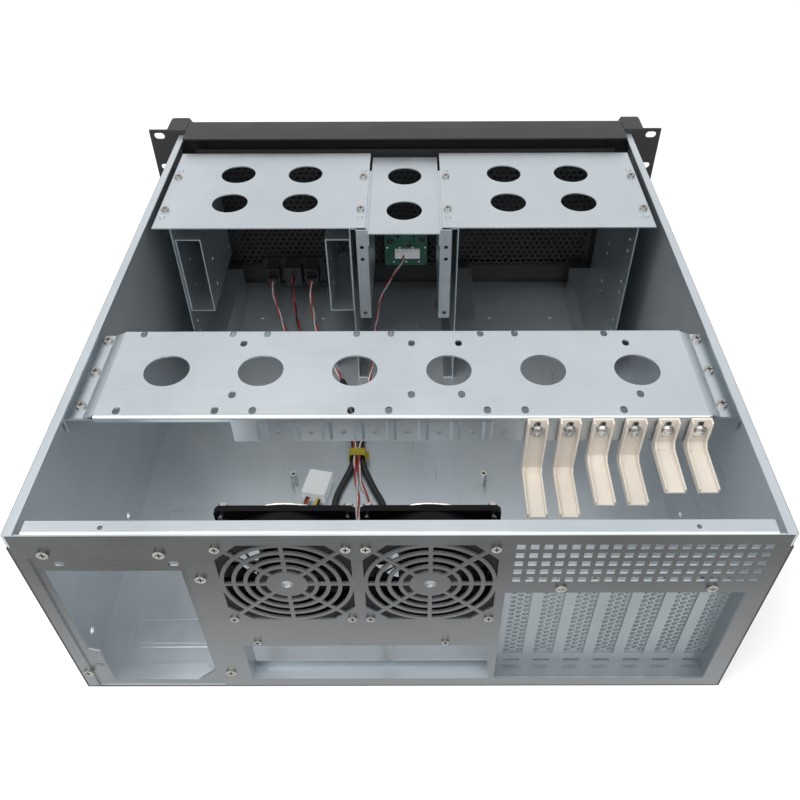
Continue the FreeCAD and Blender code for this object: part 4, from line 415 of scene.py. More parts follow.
@dataclass(frozen=True)
class PerforatedSheet(Finish):
    """Black coated sheet with rows of staggered round holes through its upright face."""

    pitch: float = 6.1 * MM
    row: float = 5.3 * MM
    hole: float = 2.15 * MM
    margin: float = 5.0 * MM
    foot: float = 28.5 * MM
    head: float = 18.0 * MM
    half_sheet: float = 0.6 * MM
    reach: float = 0.75 * MM
    first_cell: float = 200.0
    tone: Colour = (0.014, 0.014, 0.016)
    relief: float = 0.04 * MM

    def lay(self, graph: MaterialGraph) -> None:
        """Feed the shader.

        Args:
            graph: the material's nodes.
        """
        low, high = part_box("front_grille")
        sheet_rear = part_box("switch_panel")[0][1]
        x, y, z = graph.along()
        across = x / self.pitch + self.first_cell
        up = z / self.row + self.first_cell
        shifted = across + (up.cell() * 0.5).within()
        aside = (shifted.within() - 0.5) * self.pitch
        rise = (up.within() - 0.5) * self.row
        holed = (aside * aside + rise * rise) < self.hole ** 2
        face = (y - (sheet_rear - self.half_sheet)).size() < self.reach
        field_x = x.size() < (high[0] - self.margin)
        field_z = (z > low[2] + self.foot) * (z < high[2] - self.head)
        open_share = holed * face * field_x * field_z
        speckle = graph.noise(1300.0, 2.0)
        graph.finish(Base_Color=self.tone, Alpha=1.0 - open_share,
                     Roughness=graph.spread(speckle, 0.3, 0.7, (0.42, 0.6)),
                     Normal=graph.bump(speckle, self.relief, 0.6))


@dataclass(frozen=True)
class MouldedPlastic(Finish):
    """Moulded plastic with a faint skin texture, slow changes of tone and an optional painted glow."""

    colour: Colour
    roughness: float = 0.45
    texture: float = 900.0
    depth: float = 0.02
    glow: float = 0.0
    painted_glow: float = 0.0
    shine: float = 0.5
    glow_reach: Point = (4.0 * MM, 3.0 * MM, 2.0 * MM)

    def lay(self, graph: MaterialGraph) -> None:
        """Feed the shader.

        Args:
            graph: the material's nodes.
        """
        skin = graph.noise(self.texture, 2.0)
        tone = graph.noise(24.0, 4.0)
        darker = tuple(part * 0.86 for part in self.colour)
        colour = graph.mix(graph.spread(tone * 0.7 + skin * 0.3, 0.35, 0.68), darker, self.colour)
        rough = graph.spread(tone, 0.3, 0.7, (self.roughness - 0.06, self.roughness + 0.08))
        # Emission in the plastic's own colour, at painted_glow strength, is painted light: the part glows a
        # little, though it is no lamp, so it reads as lit through.
        graph.finish(Base_Color=colour, Roughness=rough, Subsurface_Weight=self.glow,
                     Subsurface_Radius=self.glow_reach, Specular_IOR_Level=self.shine,
                     Emission_Strength=self.painted_glow, Emission_Color=self.colour,
                     Normal=graph.bump(skin, self.depth * MM, 0.6))


@dataclass(frozen=True)
class PlatedScrew(Finish):
    """Bright nickel plating with tiny pits and tarnish."""

    colour: Colour = (0.47, 0.46, 0.44)
    relief: float = 0.01 * MM

    def lay(self, graph: MaterialGraph) -> None:
        """Feed the shader.

        Args:
            graph: the material's nodes.
        """
        pits = graph.noise(1600.0, 3.0)
        cloud = graph.noise(160.0, 2.0)
        darker = tuple(part * 0.7 for part in self.colour)
        graph.finish(Base_Color=graph.mix(graph.spread(cloud, 0.35, 0.65), darker, self.colour), Metallic=1.0,
                     Roughness=graph.spread(pits, 0.3, 0.7, (0.16, 0.34)),
                     Normal=graph.bump(pits, self.relief, 0.6))


@dataclass(frozen=True)
class CircuitBoard(Finish):
    """Green solder resist over copper tracks."""

    resist: Colour = (0.008, 0.10, 0.055)
    track: Colour = (0.02, 0.19, 0.10)
    lanes: float = 420.0
    columns: float = 300.0
    relief: float = 0.03 * MM

    def lay(self, graph: MaterialGraph) -> None:
        """Feed the shader.

        Args:
            graph: the material's nodes.
        """
        x, _, z = graph.along()
        lanes = ((z * self.lanes).within() - 0.5).size()
        bend = graph.noise(70.0, 0.0)
        columns = ((x * self.columns + bend * 2.0).within() - 0.5).size()
        tracks = (lanes < 0.16).at_least(columns < 0.10)
        graph.finish(Base_Color=graph.mix(tracks, self.resist, self.track),
                     Roughness=graph.spread(bend, 0.3, 0.7, (0.25, 0.35)),
                     Normal=graph.bump(tracks, self.relief, 0.6))


@dataclass(frozen=True)
class Insulation(Finish):
    """Soft extruded wire insulation."""

    colour: Colour
    ribbed: bool = False

    def lay(self, graph: MaterialGraph) -> None:
        """Feed the shader.

        Args:
            graph: the material's nodes.
        """
        wear = graph.noise(300.0, 3.0)
        lighter = tuple(min(1.0, part * 1.25 + 0.01) for part in self.colour)
        colour = graph.mix(graph.spread(wear, 0.4, 0.7), self.colour, lighter)
        texture, relief = (2200.0, 0.12 * MM) if self.ribbed else (1200.0, 0.03 * MM)
        fine = graph.noise(texture, 2.0)
        graph.finish(Base_Color=colour, Roughness=graph.spread(wear, 0.3, 0.7, (0.34, 0.5)),
                     Normal=graph.bump(fine, relief, 0.7))


class Finishes:
    """Every finish of the case, made once."""

    def __init__(self) -> None:
        """Build all the materials."""
        self.tub = ZincSheet(grain=Axis.Y, metal=0.6, painted_outside=True).build("zinc_tub")
        self.sheet = ZincSheet().build("zinc_sheet")
        self.upright = ZincSheet(grain=Axis.Z).build("zinc_upright")
        self.rear = ZincSheet(painted_reflection_node="rear_panel").build("zinc_rear")
        self.plate = ZincSheet(painted_reflection_node="psu_frame").build("zinc_plate")
        # Darker copy of the zinc for the slot covers and bracket on the rear: painted shade, standing in for
        # the dark reflection on these rear-facing faces.
        self.cover = ZincSheet((0.37, 0.405, 0.43), (0.27, 0.30, 0.32),
                               grain=Axis.Z, metal=0.7).build("zinc_cover")
        self.black = PowderCoat((0.010, 0.010, 0.011)).build("black_powder")
        self.perforated = PerforatedSheet().build("black_perforated")
        self.bezel = MouldedPlastic((0.02, 0.02, 0.022), 0.5, 1500.0, 0.03).build("bezel_plastic")
        self.fan = MouldedPlastic((0.004, 0.004, 0.005), 0.36, 700.0, 0.012, shine=0.1).build("fan_plastic")
        self.ivory = MouldedPlastic((0.83, 0.765, 0.68), 0.42, 800.0, 0.012, 0.12).build("ivory_plastic")
        # The white nylon has a painted glow, so the plug, connector and resistors read bright as if lit
        # through.
        self.nylon = MouldedPlastic((0.90, 0.93, 0.94), 0.3, 600.0, 0.01, 0.4, 0.12).build("white_nylon")
        self.switch = MouldedPlastic((0.02, 0.02, 0.022), 0.4, 900.0, 0.015).build("switch_plastic")
        self.tie = MouldedPlastic((0.50, 0.42, 0.02), 0.38, 900.0, 0.03, 0.05).build("yellow_plastic")
        self.screw = PlatedScrew().build("nickel_plate")
        self.wire = PlatedScrew((0.78, 0.78, 0.77)).build("chrome_wire")
        self.foil = PlatedScrew((0.50, 0.51, 0.52)).build("silver_foil")
        # Near-black inlay for the screws' cross slots: painted shade.
        self.recess = MouldedPlastic((0.012, 0.012, 0.012), 0.6, 900.0, 0.01).build("screw_recess")
        # Near-black sheet in front of the grille: painted shade seen through its holes.
        self.shade_sheet = MouldedPlastic((0.012, 0.012, 0.013), 0.8, 500.0, 0.3).build("black_shade_sheet")
        self.board = CircuitBoard().build("green_board")
        self.red = Insulation((0.42, 0.035, 0.03)).build("red_insulation")
        self.white = Insulation((0.72, 0.66, 0.64)).build("white_insulation")
        self.dark = Insulation((0.012, 0.012, 0.013)).build("black_insulation")
        self.yellow = Insulation((0.62, 0.42, 0.04)).build("yellow_insulation")
        self.sleeve = Insulation((0.011, 0.012, 0.013), ribbed=True).build("black_sleeve")

    @staticmethod
    def dress(node: str, material: Material) -> None:
        """Give a CAD node one finish.

        Args:
            node: the node's name.
            material: its finish.
        """
        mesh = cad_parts[node].data
        mesh.materials.clear()
        mesh.materials.append(material)


def solid(name: str, verts: Sequence[Sequence[float]], faces: Sequence[Sequence[int]],
          material: Material, body: str = CASE_BODY, smooth: bool = True) -> Object:
    """Make a mesh object that rides on one body of the case.

    Args:
        name: the object's name.
        verts: corner points, in metres in the case's frame.
        faces: corner numbers of each face.
        material: its finish.
        body: the body that carries it.
        smooth: whether its faces shade smoothly.

    Returns:
        The new object.
    """
    mesh = bpy.data.meshes.new(name)
    mesh.from_pydata([tuple(vert) for vert in verts], [], [tuple(face) for face in faces])
    for polygon in mesh.polygons:
        polygon.use_smooth = smooth
    mesh.materials.append(material)
    mesh.update()
    made = bpy.data.objects.new(name, mesh)
    bpy.context.scene.collection.objects.link(made)
    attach(made, body)
    return made


def soften(made: Object, width: float, segments: int = 2) -> None:
    """Round an object's sharp edges a little.

    Args:
        made: the object.
        width: the size of the round, in metres.
        segments: how many faces make it.
    """
    weld = made.modifiers.new("weld", "WELD")
    weld.merge_threshold = 0.002 * MM
    bevel = made.modifiers.new("soft_edge", "BEVEL")
    bevel.width = width
    bevel.segments = segments
    bevel.limit_method = "ANGLE"
    bevel.angle_limit = math.radians(50.0)
    bevel.use_clamp_overlap = True
    bevel.harden_normals = True


class MeshKit:
    """Gathers the points and faces of one piece that is made of several simple forms."""

    def __init__(self) -> None:
        """Start with nothing."""
        self.verts: list[Vector] = []
        self.faces: list[tuple[int, ...]] = []

    def add(self, verts: Sequence[Vector], faces: Sequence[tuple[int, ...]]) -> None:
        """Add one form.

        Args:
            verts: its points.
            faces: its faces, numbered from its own first point.
        """
        start = len(self.verts)
        self.verts.extend(verts)
        self.faces.extend(tuple(start + number for number in face) for face in faces)

    def brick(self, low: Point, high: Point, edge: float) -> None:
        """Add a block with its edges cut back all round.

        Args:
            low: its lowest corner.
            high: its highest corner.
            edge: how far each edge is cut back.
        """
        made = bmesh.new()
        bmesh.ops.create_cube(made, size=1.0)
        middle = [(first + second) / 2 for first, second in zip(low, high)]
        span = [second - first for first, second in zip(low, high)]
        for vert in made.verts:
            vert.co = Vector([middle[axis] + vert.co[axis] * span[axis] for axis in range(3)])
        bmesh.ops.bevel(made, geom=made.edges[:], offset=edge, segments=2, affect="EDGES", profile=0.5)
        made.verts.index_update()
        self.add([vert.co.copy() for vert in made.verts],
                 [tuple(vert.index for vert in face.verts) for face in made.faces])
        made.free()

    @staticmethod
    def hoop(middle: Vector, across: Vector, beside: Vector, radius: float, sides: int) -> list[Vector]:
        """Return points round a circle.

        Args:
            middle: its middle.
            across: the direction of its first point.
            beside: the direction a quarter turn on.
            radius: its radius.
            sides: how many points it has.

        Returns:
            The points.
        """
        angles = [2 * math.pi * step / sides for step in range(sides)]
        return [middle + (across * math.cos(angle) + beside * math.sin(angle)) * radius for angle in angles]

    @staticmethod
    def walls(hoops: int, sides: int, ends: bool = True) -> list[tuple[int, ...]]:
        """Return the faces that join hoops of points, one after another.

        Args:
            hoops: how many there are.
            sides: how many points each has.
            ends: whether the first and the last are closed.

        Returns:
            The point numbers of each face.
        """
        last = (hoops - 1) * sides
        faces = []
        for start in range(0, last, sides):
            for step in range(sides):
                after = (step + 1) % sides
                faces.append((start + step, start + after, start + sides + after, start + sides + step))
        if ends:
            faces.append(tuple(reversed(range(sides))))
            faces.append(tuple(range(last, last + sides)))
        return faces

    def ring(self, centre: Vector, axis: Vector, profile: Sequence[tuple[float, float]],
             sides: int = 32) -> None:
        """Add a form turned about an axis.

        Args:
            centre: a point on the axis.
            axis: its direction.
            profile: radius and height along the axis, point by point.
            sides: steps round it.
        """
        axis = axis.normalized()
        across = axis.orthogonal().normalized()
        beside = axis.cross(across)
        verts = []
        for radius, height in profile:
            verts.extend(self.hoop(centre + axis * height, across, beside, radius, sides))
        self.add(verts, self.walls(len(profile), sides))

    def sweep(self, line: Sequence[Vector], radius: float, sides: int = 8, orbit: float = 0.0,
              phase: float = 0.0, pitch: float = 1.0, closed: bool = False) -> None:
        """Add a round strand that follows a line, or winds about it.

        Args:
            line: points along the line.
            radius: the strand's own radius.
            sides: faces round it.
            orbit: how far its middle stays from the line.
            phase: where round the line it starts, in turns.
            pitch: length of one turn about the line.
            closed: whether the line's end meets its start.
        """
        normal = (line[1] - line[0]).orthogonal().normalized()
        before = (line[1] - line[0]).normalized()
        travelled = 0.0
        verts = []
        for index, point in enumerate(line):
            ahead = line[min(index + 1, len(line) - 1)]
            behind = line[max(index - 1, 0)]
            tangent = (ahead - behind).normalized()
            normal = before.rotation_difference(tangent) @ normal
            normal = (normal - tangent * normal.dot(tangent)).normalized()
            beside = tangent.cross(normal)
            before = tangent
            if index:
                travelled += (point - line[index - 1]).length
            turn = 2 * math.pi * (phase + travelled / pitch)
            middle = point + (normal * math.cos(turn) + beside * math.sin(turn)) * orbit
            verts.extend(self.hoop(middle, normal, beside, radius, sides))
        self.add(verts, self.walls(len(line), sides, ends=not closed))

    def make(self, name: str, material: Material, body: str = CASE_BODY,
             smooth: bool = True) -> Object:
        """Turn what was gathered into an object.

        Args:
            name: the object's name.
            material: its finish.
            body: the body that carries it.
            smooth: whether it shades smoothly.

        Returns:
            The object.
        """
        return solid(name, self.verts, self.faces, material, body, smooth)


def meets(first: Sequence[Vector], second: Sequence[Vector]) -> bool:
    """Return whether two boxes, each a lowest and a highest corner, touch."""
    return all(first[0][axis] <= second[1][axis] + TOUCH and second[0][axis] <= first[1][axis] + TOUCH
               for axis in range(3))


def islands(mesh: Mesh) -> list[tuple[Vector, Vector]]:
    """Return the lowest and highest corner of each separate part of a mesh.

    Args:
        mesh: the mesh.

    Returns:
        A pair of corners for each part whose boxes don't meet.
    """
    boxes: list[list[Vector]] = []
    for polygon in mesh.polygons:
        points = [mesh.vertices[number].co for number in polygon.vertices]
        low = Vector([min(point[axis] for point in points) for axis in range(3)])
        high = Vector([max(point[axis] for point in points) for axis in range(3)])
        for box in [box for box in boxes if meets(box, (low, high))]:
            low = Vector([min(low[axis], box[0][axis]) for axis in range(3)])
            high = Vector([max(high[axis], box[1][axis]) for axis in range(3)])
            boxes.remove(box)
        boxes.append([low, high])
    return [(low, high) for low, high in boxes]


@dataclass
class Assembly:
    """A group of pieces that are dressed and detailed together."""

    finishes: Finishes
    pieces: list[str] = field(default_factory=list)
    cross_share: float = 0.58
    cross_thin: float = 0.42 * MM
    cross_depth: float = 0.69 * MM
    cross_sunk: float = 0.25 * MM
    cross_edge: float = 0.02 * MM

    def dress(self, material: Material, *nodes: str) -> None:
        """Give nodes a finish and note them.

        Args:
            material: the finish.
            nodes: the nodes' names.
        """
        for node in nodes:
            self.finishes.dress(node, material)
            self.note(node)

    def note(self, name: str) -> None:
        """Write one finished piece to the log."""
        self.pieces.append(name)
        log.info("%s: %s", type(self).__name__, name)

    def crosses(self, node: str) -> None:
        """Lay a dark cross in the bottom of every screw's recess: painted shade, in place of the shadow in
        the cross slot.

        Args:
            node: the node that holds the screws.
        """
        kit = MeshKit()
        for low, high in islands(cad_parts[node].data):
            span = high - low
            along = min(range(3), key=lambda axis: abs(span[(axis + 1) % 3] - span[(axis + 2) % 3]))
            others = [axis for axis in range(3) if axis != along]
            head = max(span[others[0]], span[others[1]]) / 2
            centre = (low + high) / 2
            outward = self.head_side(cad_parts[node].data, low, high, along)
            top = high[along] if outward > 0 else low[along]
            for first, second in (others, others[::-1]):
                small, large = Vector(centre), Vector(centre)
                small[first] -= head * self.cross_share
                large[first] += head * self.cross_share
                small[second] -= self.cross_thin
                large[second] += self.cross_thin
                ends = sorted((top - outward * self.cross_depth, top - outward * self.cross_sunk))
                small[along], large[along] = ends
                kit.brick(tuple(small), tuple(large), self.cross_edge)
        self.note(kit.make(node + "_crosses", self.finishes.recess, smooth=False).name)

    @staticmethod
    def head_side(mesh: Mesh, low: Vector, high: Vector, along: int) -> int:
        """Return 1 where a screw's head is at the high end of its axis, else -1.

        Args:
            mesh: the mesh that holds the screw.
            low: the screw's lowest corner.
            high: its highest corner.
            along: the number of its axis.

        Returns:
            The side.
        """
        centre = (low + high) / 2
        reach = [0.0, 0.0]
        margin = 0.01 * MM
        for vert in mesh.vertices:
            spot = vert.co
            if all(low[axis] - margin <= spot[axis] <= high[axis] + margin for axis in range(3)):
                wide = max(abs(spot[axis] - centre[axis]) for axis in range(3) if axis != along)
                if spot[along] > high[along] - margin:
                    reach[1] = max(reach[1], wide)
                elif spot[along] < low[along] + margin:
                    reach[0] = max(reach[0], wide)
        return 1 if reach[1] > reach[0] else -1

    @staticmethod
    def middle(node: str) -> Vector:
        """Return the middle of a node's box."""
        low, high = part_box(node)
        return (Vector(low) + Vector(high)) / 2

    def build(self) -> None:
        """Make the assembly's pieces."""
        raise NotImplementedError


@dataclass
class Shell(Assembly):
    """The folded tub, the posts on its floor and the power supply plate."""

    post_edge: float = 0.25 * MM
    sheet_steel: float = 1.2 * MM
    pad_low_x: float = 121.0 * MM
    pad_high_x: float = 191.0 * MM
    pad_middles: tuple[float, ...] = (109.85 * MM, 208.85 * MM)
    pad_half: float = 11.0 * MM
    pad_corner: float = 1.6 * MM
    pad_ridge: float = 0.6 * MM
    pad_bend_step: int = 15
    ridge_sides: int = 8

    def build(self) -> None:
        """Dress the tub, its posts and the plate, and raise the support pads' outlines."""
        self.dress(self.finishes.tub, "chassis_tub")
        self.dress(self.finishes.wire, "board_standoffs")
        self.dress(self.finishes.plate, "psu_frame")
        soften(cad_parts["board_standoffs"], self.post_edge)
        self.support_pads()

    def support_pads(self) -> None:
        """Raise the rounded outline of each pad that the power supply rests on."""
        kit = MeshKit()
        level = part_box("chassis_tub")[0][2] + self.sheet_steel
        inset = self.pad_corner
        right, left = self.pad_high_x - inset, self.pad_low_x + inset
        for middle in self.pad_middles:
            line = []
            far, near = middle + self.pad_half - inset, middle - self.pad_half + inset
            corners_round = ((right, far, 0), (left, far, 90), (left, near, 180), (right, near, 270))
            for across, along, first in corners_round:
                for degrees in range(first, first + 91, self.pad_bend_step):
                    turn = math.radians(degrees)
                    outward = Vector((math.cos(turn), math.sin(turn), 0.0)) * inset
                    line.append(Vector((across, along, level)) + outward)
            line.append(line[0].copy())
            kit.sweep(line, self.pad_ridge, self.ridge_sides, closed=True)
        self.note(kit.make("support_pads", self.finishes.sheet).name)


@dataclass
class RearEnd(Assembly):
    """The rear panel with its slot covers and every screw in it."""

    covers: int = 7

    def build(self) -> None:
        """Dress the panel, the bracket, the covers and the screws."""
        self.dress(self.finishes.rear, "rear_panel")
        self.dress(self.finishes.cover, "slot_bracket",
                   *[f"slot_cover_{number}" for number in range(1, self.covers + 1)])
        self.dress(self.finishes.screw, "panel_screws")
        self.crosses("panel_screws")


@dataclass
class Fans(Assembly):
    """The two exhaust fans."""

    label_radius: float = 8.0 * MM
    label_thick: float = 0.15 * MM
    wire: float = 0.8 * MM
    wire_rings: tuple[float, ...] = (40.2 * MM, 29.8 * MM, 20.3 * MM)
    hole_reach: float = 35.75 * MM
    loop: float = 2.75 * MM
    ring_steps: int = 64
    loop_steps: int = 24
    wire_sides: int = 8
    disc_steps: int = 48
    disc_middle: float = 0.1 * MM

    def build(self) -> None:
        """Dress both fans and lay a blank disc on each fixed hub."""
        for side in ("left", "right"):
            self.dress(self.finishes.fan, f"fan_frame_{side}", f"fan_rotor_{side}")
            self.blank_disc(side)
        self.dress(self.finishes.screw, "fan_screws")
        self.crosses("fan_screws")
        self.wire_guards()

    def wire_guards(self) -> None:
        """Bend the round wire guards on the inner side: rings, arms and a loop round each screw."""
        kit = MeshKit()
        for side in ("left", "right"):
            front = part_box(f"fan_frame_{side}")[0][1] - self.wire
            centre = self.middle(f"fan_frame_{side}")
            centre.y = front
            for radius in self.wire_rings:
                kit.sweep(self.circle(centre, radius, self.ring_steps), self.wire, self.wire_sides,
                          closed=True)
            for across in (-1, 1):
                for up in (-1, 1):
                    screw = centre + Vector((across, 0.0, up)) * self.hole_reach
                    kit.sweep(self.circle(screw, self.loop, self.loop_steps), self.wire, self.wire_sides,
                              closed=True)
                    outward = Vector((across, 0.0, up)).normalized()
                    kit.sweep([centre + outward * self.wire_rings[-1], screw - outward * self.loop],
                              self.wire, self.wire_sides)
        made = kit.make("wire_guards", self.finishes.wire)
        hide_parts("finger_guards")
        self.note(made.name)

    @staticmethod
    def circle(centre: Vector, radius: float, steps: int) -> list[Vector]:
        """Return points round a circle that faces along the case, the last on the first.

        Args:
            centre: its middle.
            radius: its radius.
            steps: how many parts it has.

        Returns:
            The points.
        """
        angles = [2 * math.pi * step / steps for step in range(steps + 1)]
        return [centre + Vector((math.cos(angle), 0.0, math.sin(angle))) * radius for angle in angles]

    def blank_disc(self, side: str) -> None:
        """Lay a plain disc on the side of a fan's hub that faces the panel.

        Args:
            side: left or right.
        """
        centre = self.middle(f"fan_frame_{side}")
        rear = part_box(f"fan_frame_{side}")[1][1]
        seat = Vector((centre.x, rear, centre.z))
        kit = MeshKit()
        thick = self.label_thick
        radius = self.label_radius
        kit.ring(seat, Vector((0, 1, 0)), [(radius, -thick), (radius, thick * 0.6), (radius - thick, thick),
                                           (self.disc_middle, thick)], self.disc_steps)
        self.note(kit.make(f"hub_disc_{side}", self.finishes.foil).name)


@dataclass
class CardBar(Assembly):
    """The bar across the case with its rail of card clamps."""

    clamps: int = 6
    round_edge: float = 0.55 * MM

    def build(self) -> None:
        """Dress the bar, its end brackets, the rail, the clamps and their screws."""
        self.dress(self.finishes.sheet, "crossbar", "clamp_rail")
        self.dress(self.finishes.upright, "crossbar_brackets")
        for number in range(1, self.clamps + 1):
            node = f"card_clamp_{number}"
            self.dress(self.finishes.ivory, node)
            soften(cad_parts[node], self.round_edge, 3)
        self.dress(self.finishes.screw, "frame_screws")
        self.dress(self.finishes.wire, "clamp_screws")
        self.crosses("frame_screws")


@dataclass
class DriveCages(Assembly):
    """The two drive cages, the middle plate and the adapter channels."""

    def build(self) -> None:
        """Dress the tops, the walls, the brackets and the channels."""
        self.dress(self.finishes.sheet, "cage_top_left", "cage_top_right", "cage_top_middle")
        for side in ("left", "right"):
            self.dress(self.finishes.upright, f"bay_wall_{side}_outer", f"bay_wall_{side}_inner",
                       f"tower_bracket_{side}")
        self.dress(self.finishes.upright, "adapter_channel_outer", "adapter_channel_inner")


@dataclass
class Front(Assembly):
    """The front plate, its handles, bezel, buttons, switches and indicator board.

    The places and sizes on the board, from chips to pin_step, are in millimetres.
    """

    chips: tuple[tuple[float, float, float, float], ...] = (
        (-16.0, 74.0, 6.0, 5.0), (15.5, 72.0, 7.0, 4.5), (-3.0, 68.0, 4.0, 3.0))
    chip_height: float = 1.3
    leg_share: float = 0.24
    resistors: int = 7
    resistor_start: float = -19.5
    resistor_step: float = 6.4
    resistor_rows: tuple[float, float] = (65.0, 48.0)
    pins: int = 9
    pin_start: float = -12.0
    pin_rows: tuple[float, float] = (63.0, 65.54)
    pin_step: float = 2.54
    button_edge: float = 0.5 * MM
    sheet_steel: float = 1.2 * MM
    filter_thick: float = 1.5 * MM
    filter_inset: float = 8.0 * MM
    filter_wing: float = 8.0 * MM
    filter_rise: float = 26.0 * MM
    filter_gap: float = 0.1 * MM
    filter_edge: float = 0.2 * MM

    def build(self) -> None:
        """Dress the front and set the small parts on the indicator board."""
        self.dress(self.finishes.black, "front_panel", "handle_left", "handle_right")
        self.dress(self.finishes.perforated, "front_grille")
        self.dress(self.finishes.bezel, "front_bezel")
        self.dress(self.finishes.switch, "power_button", "reset_button", "switch_panel")
        self.dress(self.finishes.board, "led_board")
        self.dress(self.finishes.nylon, "board_connector")
        for node in ("power_button", "reset_button"):
            soften(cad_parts[node], self.button_edge)
        self.filter()
        self.board_parts()

    def filter(self) -> None:
        """Lay a thin dark sheet in front of the perforated sheet: painted shade, so its holes show dark
        instead of the pale floor beyond.
        """
        low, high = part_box("front_grille")
        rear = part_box("switch_panel")[0][1] - self.sheet_steel
        inset, wing = self.filter_inset, self.filter_wing
        kit = MeshKit()
        kit.brick((low[0] - wing, rear - self.filter_thick, low[2] + inset + self.filter_rise),
                  (high[0] + wing, rear - self.filter_gap, high[2] - inset), self.filter_edge)
        self.note(kit.make("air_filter", self.finishes.shade_sheet).name)

    def board_parts(self) -> None:
        """Set chips, resistors and solder joints on the indicator board."""
        low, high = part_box("led_board")
        face, middle = high[1], (low[0] + high[0]) / 2

        def at(x: float, out: float, z: float) -> Point:
            """Return a spot, in millimetres from the board's middle, its face and the floor."""
            return (middle + x * MM, face + out * MM, z * MM)

        dark, pale, joints = MeshKit(), MeshKit(), MeshKit()
        for x, z, wide, tall in self.chips:
            dark.brick(at(x - wide / 2, 0.0, z - tall / 2),
                       at(x + wide / 2, self.chip_height, z + tall / 2), 0.2 * MM)
            for leg in range(4):
                leg_x = x + (leg - 1.5) * wide * self.leg_share
                for end in (-1, 1):
                    foot = z + end * (tall / 2 + 0.35)
                    joints.brick(at(leg_x - 0.25, 0.0, foot - 0.45), at(leg_x + 0.25, 0.35, foot + 0.45),
                                 0.08 * MM)
        for index in range(self.resistors):
            x, z = self.resistor_start + index * self.resistor_step, self.resistor_rows[index % 2]
            pale.brick(at(x - 1.0, 0.0, z - 0.6), at(x + 1.0, 0.7, z + 0.6), 0.12 * MM)
        for z in self.pin_rows:
            for index in range(self.pins):
                spot = Vector(at(self.pin_start + index * self.pin_step, 0.0, z))
                joints.ring(spot, Vector((0, 1, 0)), [(0.75 * MM, 0.0), (0.5 * MM, 0.35 * MM),
                                                      (0.2 * MM, 0.7 * MM), (0.05 * MM, 0.8 * MM)], 12)
        self.note(dark.make("board_chips", self.finishes.switch).name)
        self.note(pale.make("board_resistors", self.finishes.nylon).name)
        self.note(joints.make("board_solder", self.finishes.screw).name)


class Twist(Enum):
    """How a lead is made up: strands, length of one turn in millimetres, and faces round a strand."""

    PAIR = (2, 34.0, 8)
    TRIO = (3, 42.0, 8)
    SLEEVE = (1, 1.0, 14)


@dataclass
class Lead:
    """One free lead: its route, its strands and what it ends in, all in millimetres."""

    node: str
    radius: float
    twist: Twist
    strands: tuple[Material, ...]
    far_end: str
    route: list[Point]
    bare_share: float = 0.0
    bare_strands: tuple[Material, ...] = ()

    ear_plane: float = -216.15
    bare_wire: float = 0.8
    bare_sides: int = 8
    bare_orbit: float = 1.05
    bare_hidden: int = 4
    point_step: float = 1.3

    def line(self) -> list[Vector]:
        """Draw the lead's smooth middle line.

        Returns:
            Evenly spaced points along it, in metres.
        """
        curve = bpy.data.curves.new(self.node + "_line", "CURVE")
        curve.dimensions = "3D"
        curve.resolution_u = 16
        spline = curve.splines.new("NURBS")
        spline.points.add(len(self.route) - 1)
        for point, (x, behind, z) in zip(spline.points, self.route):
            point.co = (x * MM, (self.ear_plane + behind) * MM, z * MM, 1.0)
        spline.order_u = 3
        spline.use_endpoint_u = True
        carrier = bpy.data.objects.new(self.node + "_line", curve)
        bpy.context.scene.collection.objects.link(carrier)
        ready = carrier.evaluated_get(bpy.context.evaluated_depsgraph_get())
        mesh = bpy.data.meshes.new_from_object(ready)
        raw = [vert.co.copy() for vert in mesh.vertices]
        bpy.data.objects.remove(carrier)
        bpy.data.curves.remove(curve)
        bpy.data.meshes.remove(mesh)
        return self.evenly(raw, self.point_step * MM)

    @staticmethod
    def evenly(raw: list[Vector], step: float) -> list[Vector]:
        """Return points a fixed distance apart along a line.

        Args:
            raw: the line's own points.
            step: the distance, nearly.

        Returns:
            The new points, with both ends kept.
        """
        marks = [0.0]
        for first, second in zip(raw, raw[1:]):
            marks.append(marks[-1] + (second - first).length)
        count = max(2, round(marks[-1] / step))
        points = []
        index = 0
        for number in range(count + 1):
            target = marks[-1] * number / count
            while index < len(marks) - 2 and marks[index + 1] < target:
                index += 1
            share = (target - marks[index]) / max(1e-12, marks[index + 1] - marks[index])
            points.append(raw[index].lerp(raw[index + 1], min(1.0, share)))
        return points

    def build(self, on_it: Sequence[Object]) -> Object:
        """Args:
            on_it: the pieces fixed to it; not used.

        Returns:
            The lead's object.
        """
        line = self.line()
        count, pitch, sides = self.twist.value
        reach = self.radius * MM
        thin = {1: reach, 2: reach / 2, 3: reach / (1 + 2 / math.sqrt(3))}[count]
        orbit = 0.0 if count == 1 else reach - thin
        kit = MeshKit()
        ends = [0]
        mouth = round((len(line) - 1) * self.bare_share)
        for number in range(count):
            kit.sweep(line[mouth:], thin, sides, orbit, number / count, pitch * MM)
            ends.append(len(kit.faces))
        wire = self.bare_wire * MM
        for number in range(len(self.bare_strands)):
            kit.sweep(line[:mouth + self.bare_hidden], wire, self.bare_sides, wire * self.bare_orbit,
                      number / len(self.bare_strands), Twist.PAIR.value[1] * MM)
            ends.append(len(kit.faces))
        colours = [*self.strands, *self.bare_strands]
        made = kit.make(self.node + "_strands", colours[0])
        for number, (start, stop) in enumerate(zip(ends, ends[1:])):
            if number:
                made.data.materials.append(colours[number])
            for face in range(start, stop):
                made.data.polygons[face].material_index = number
        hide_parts(self.node)
        length = sum((second - first).length for first, second in zip(line, line[1:]))
        2 * reach
        return made


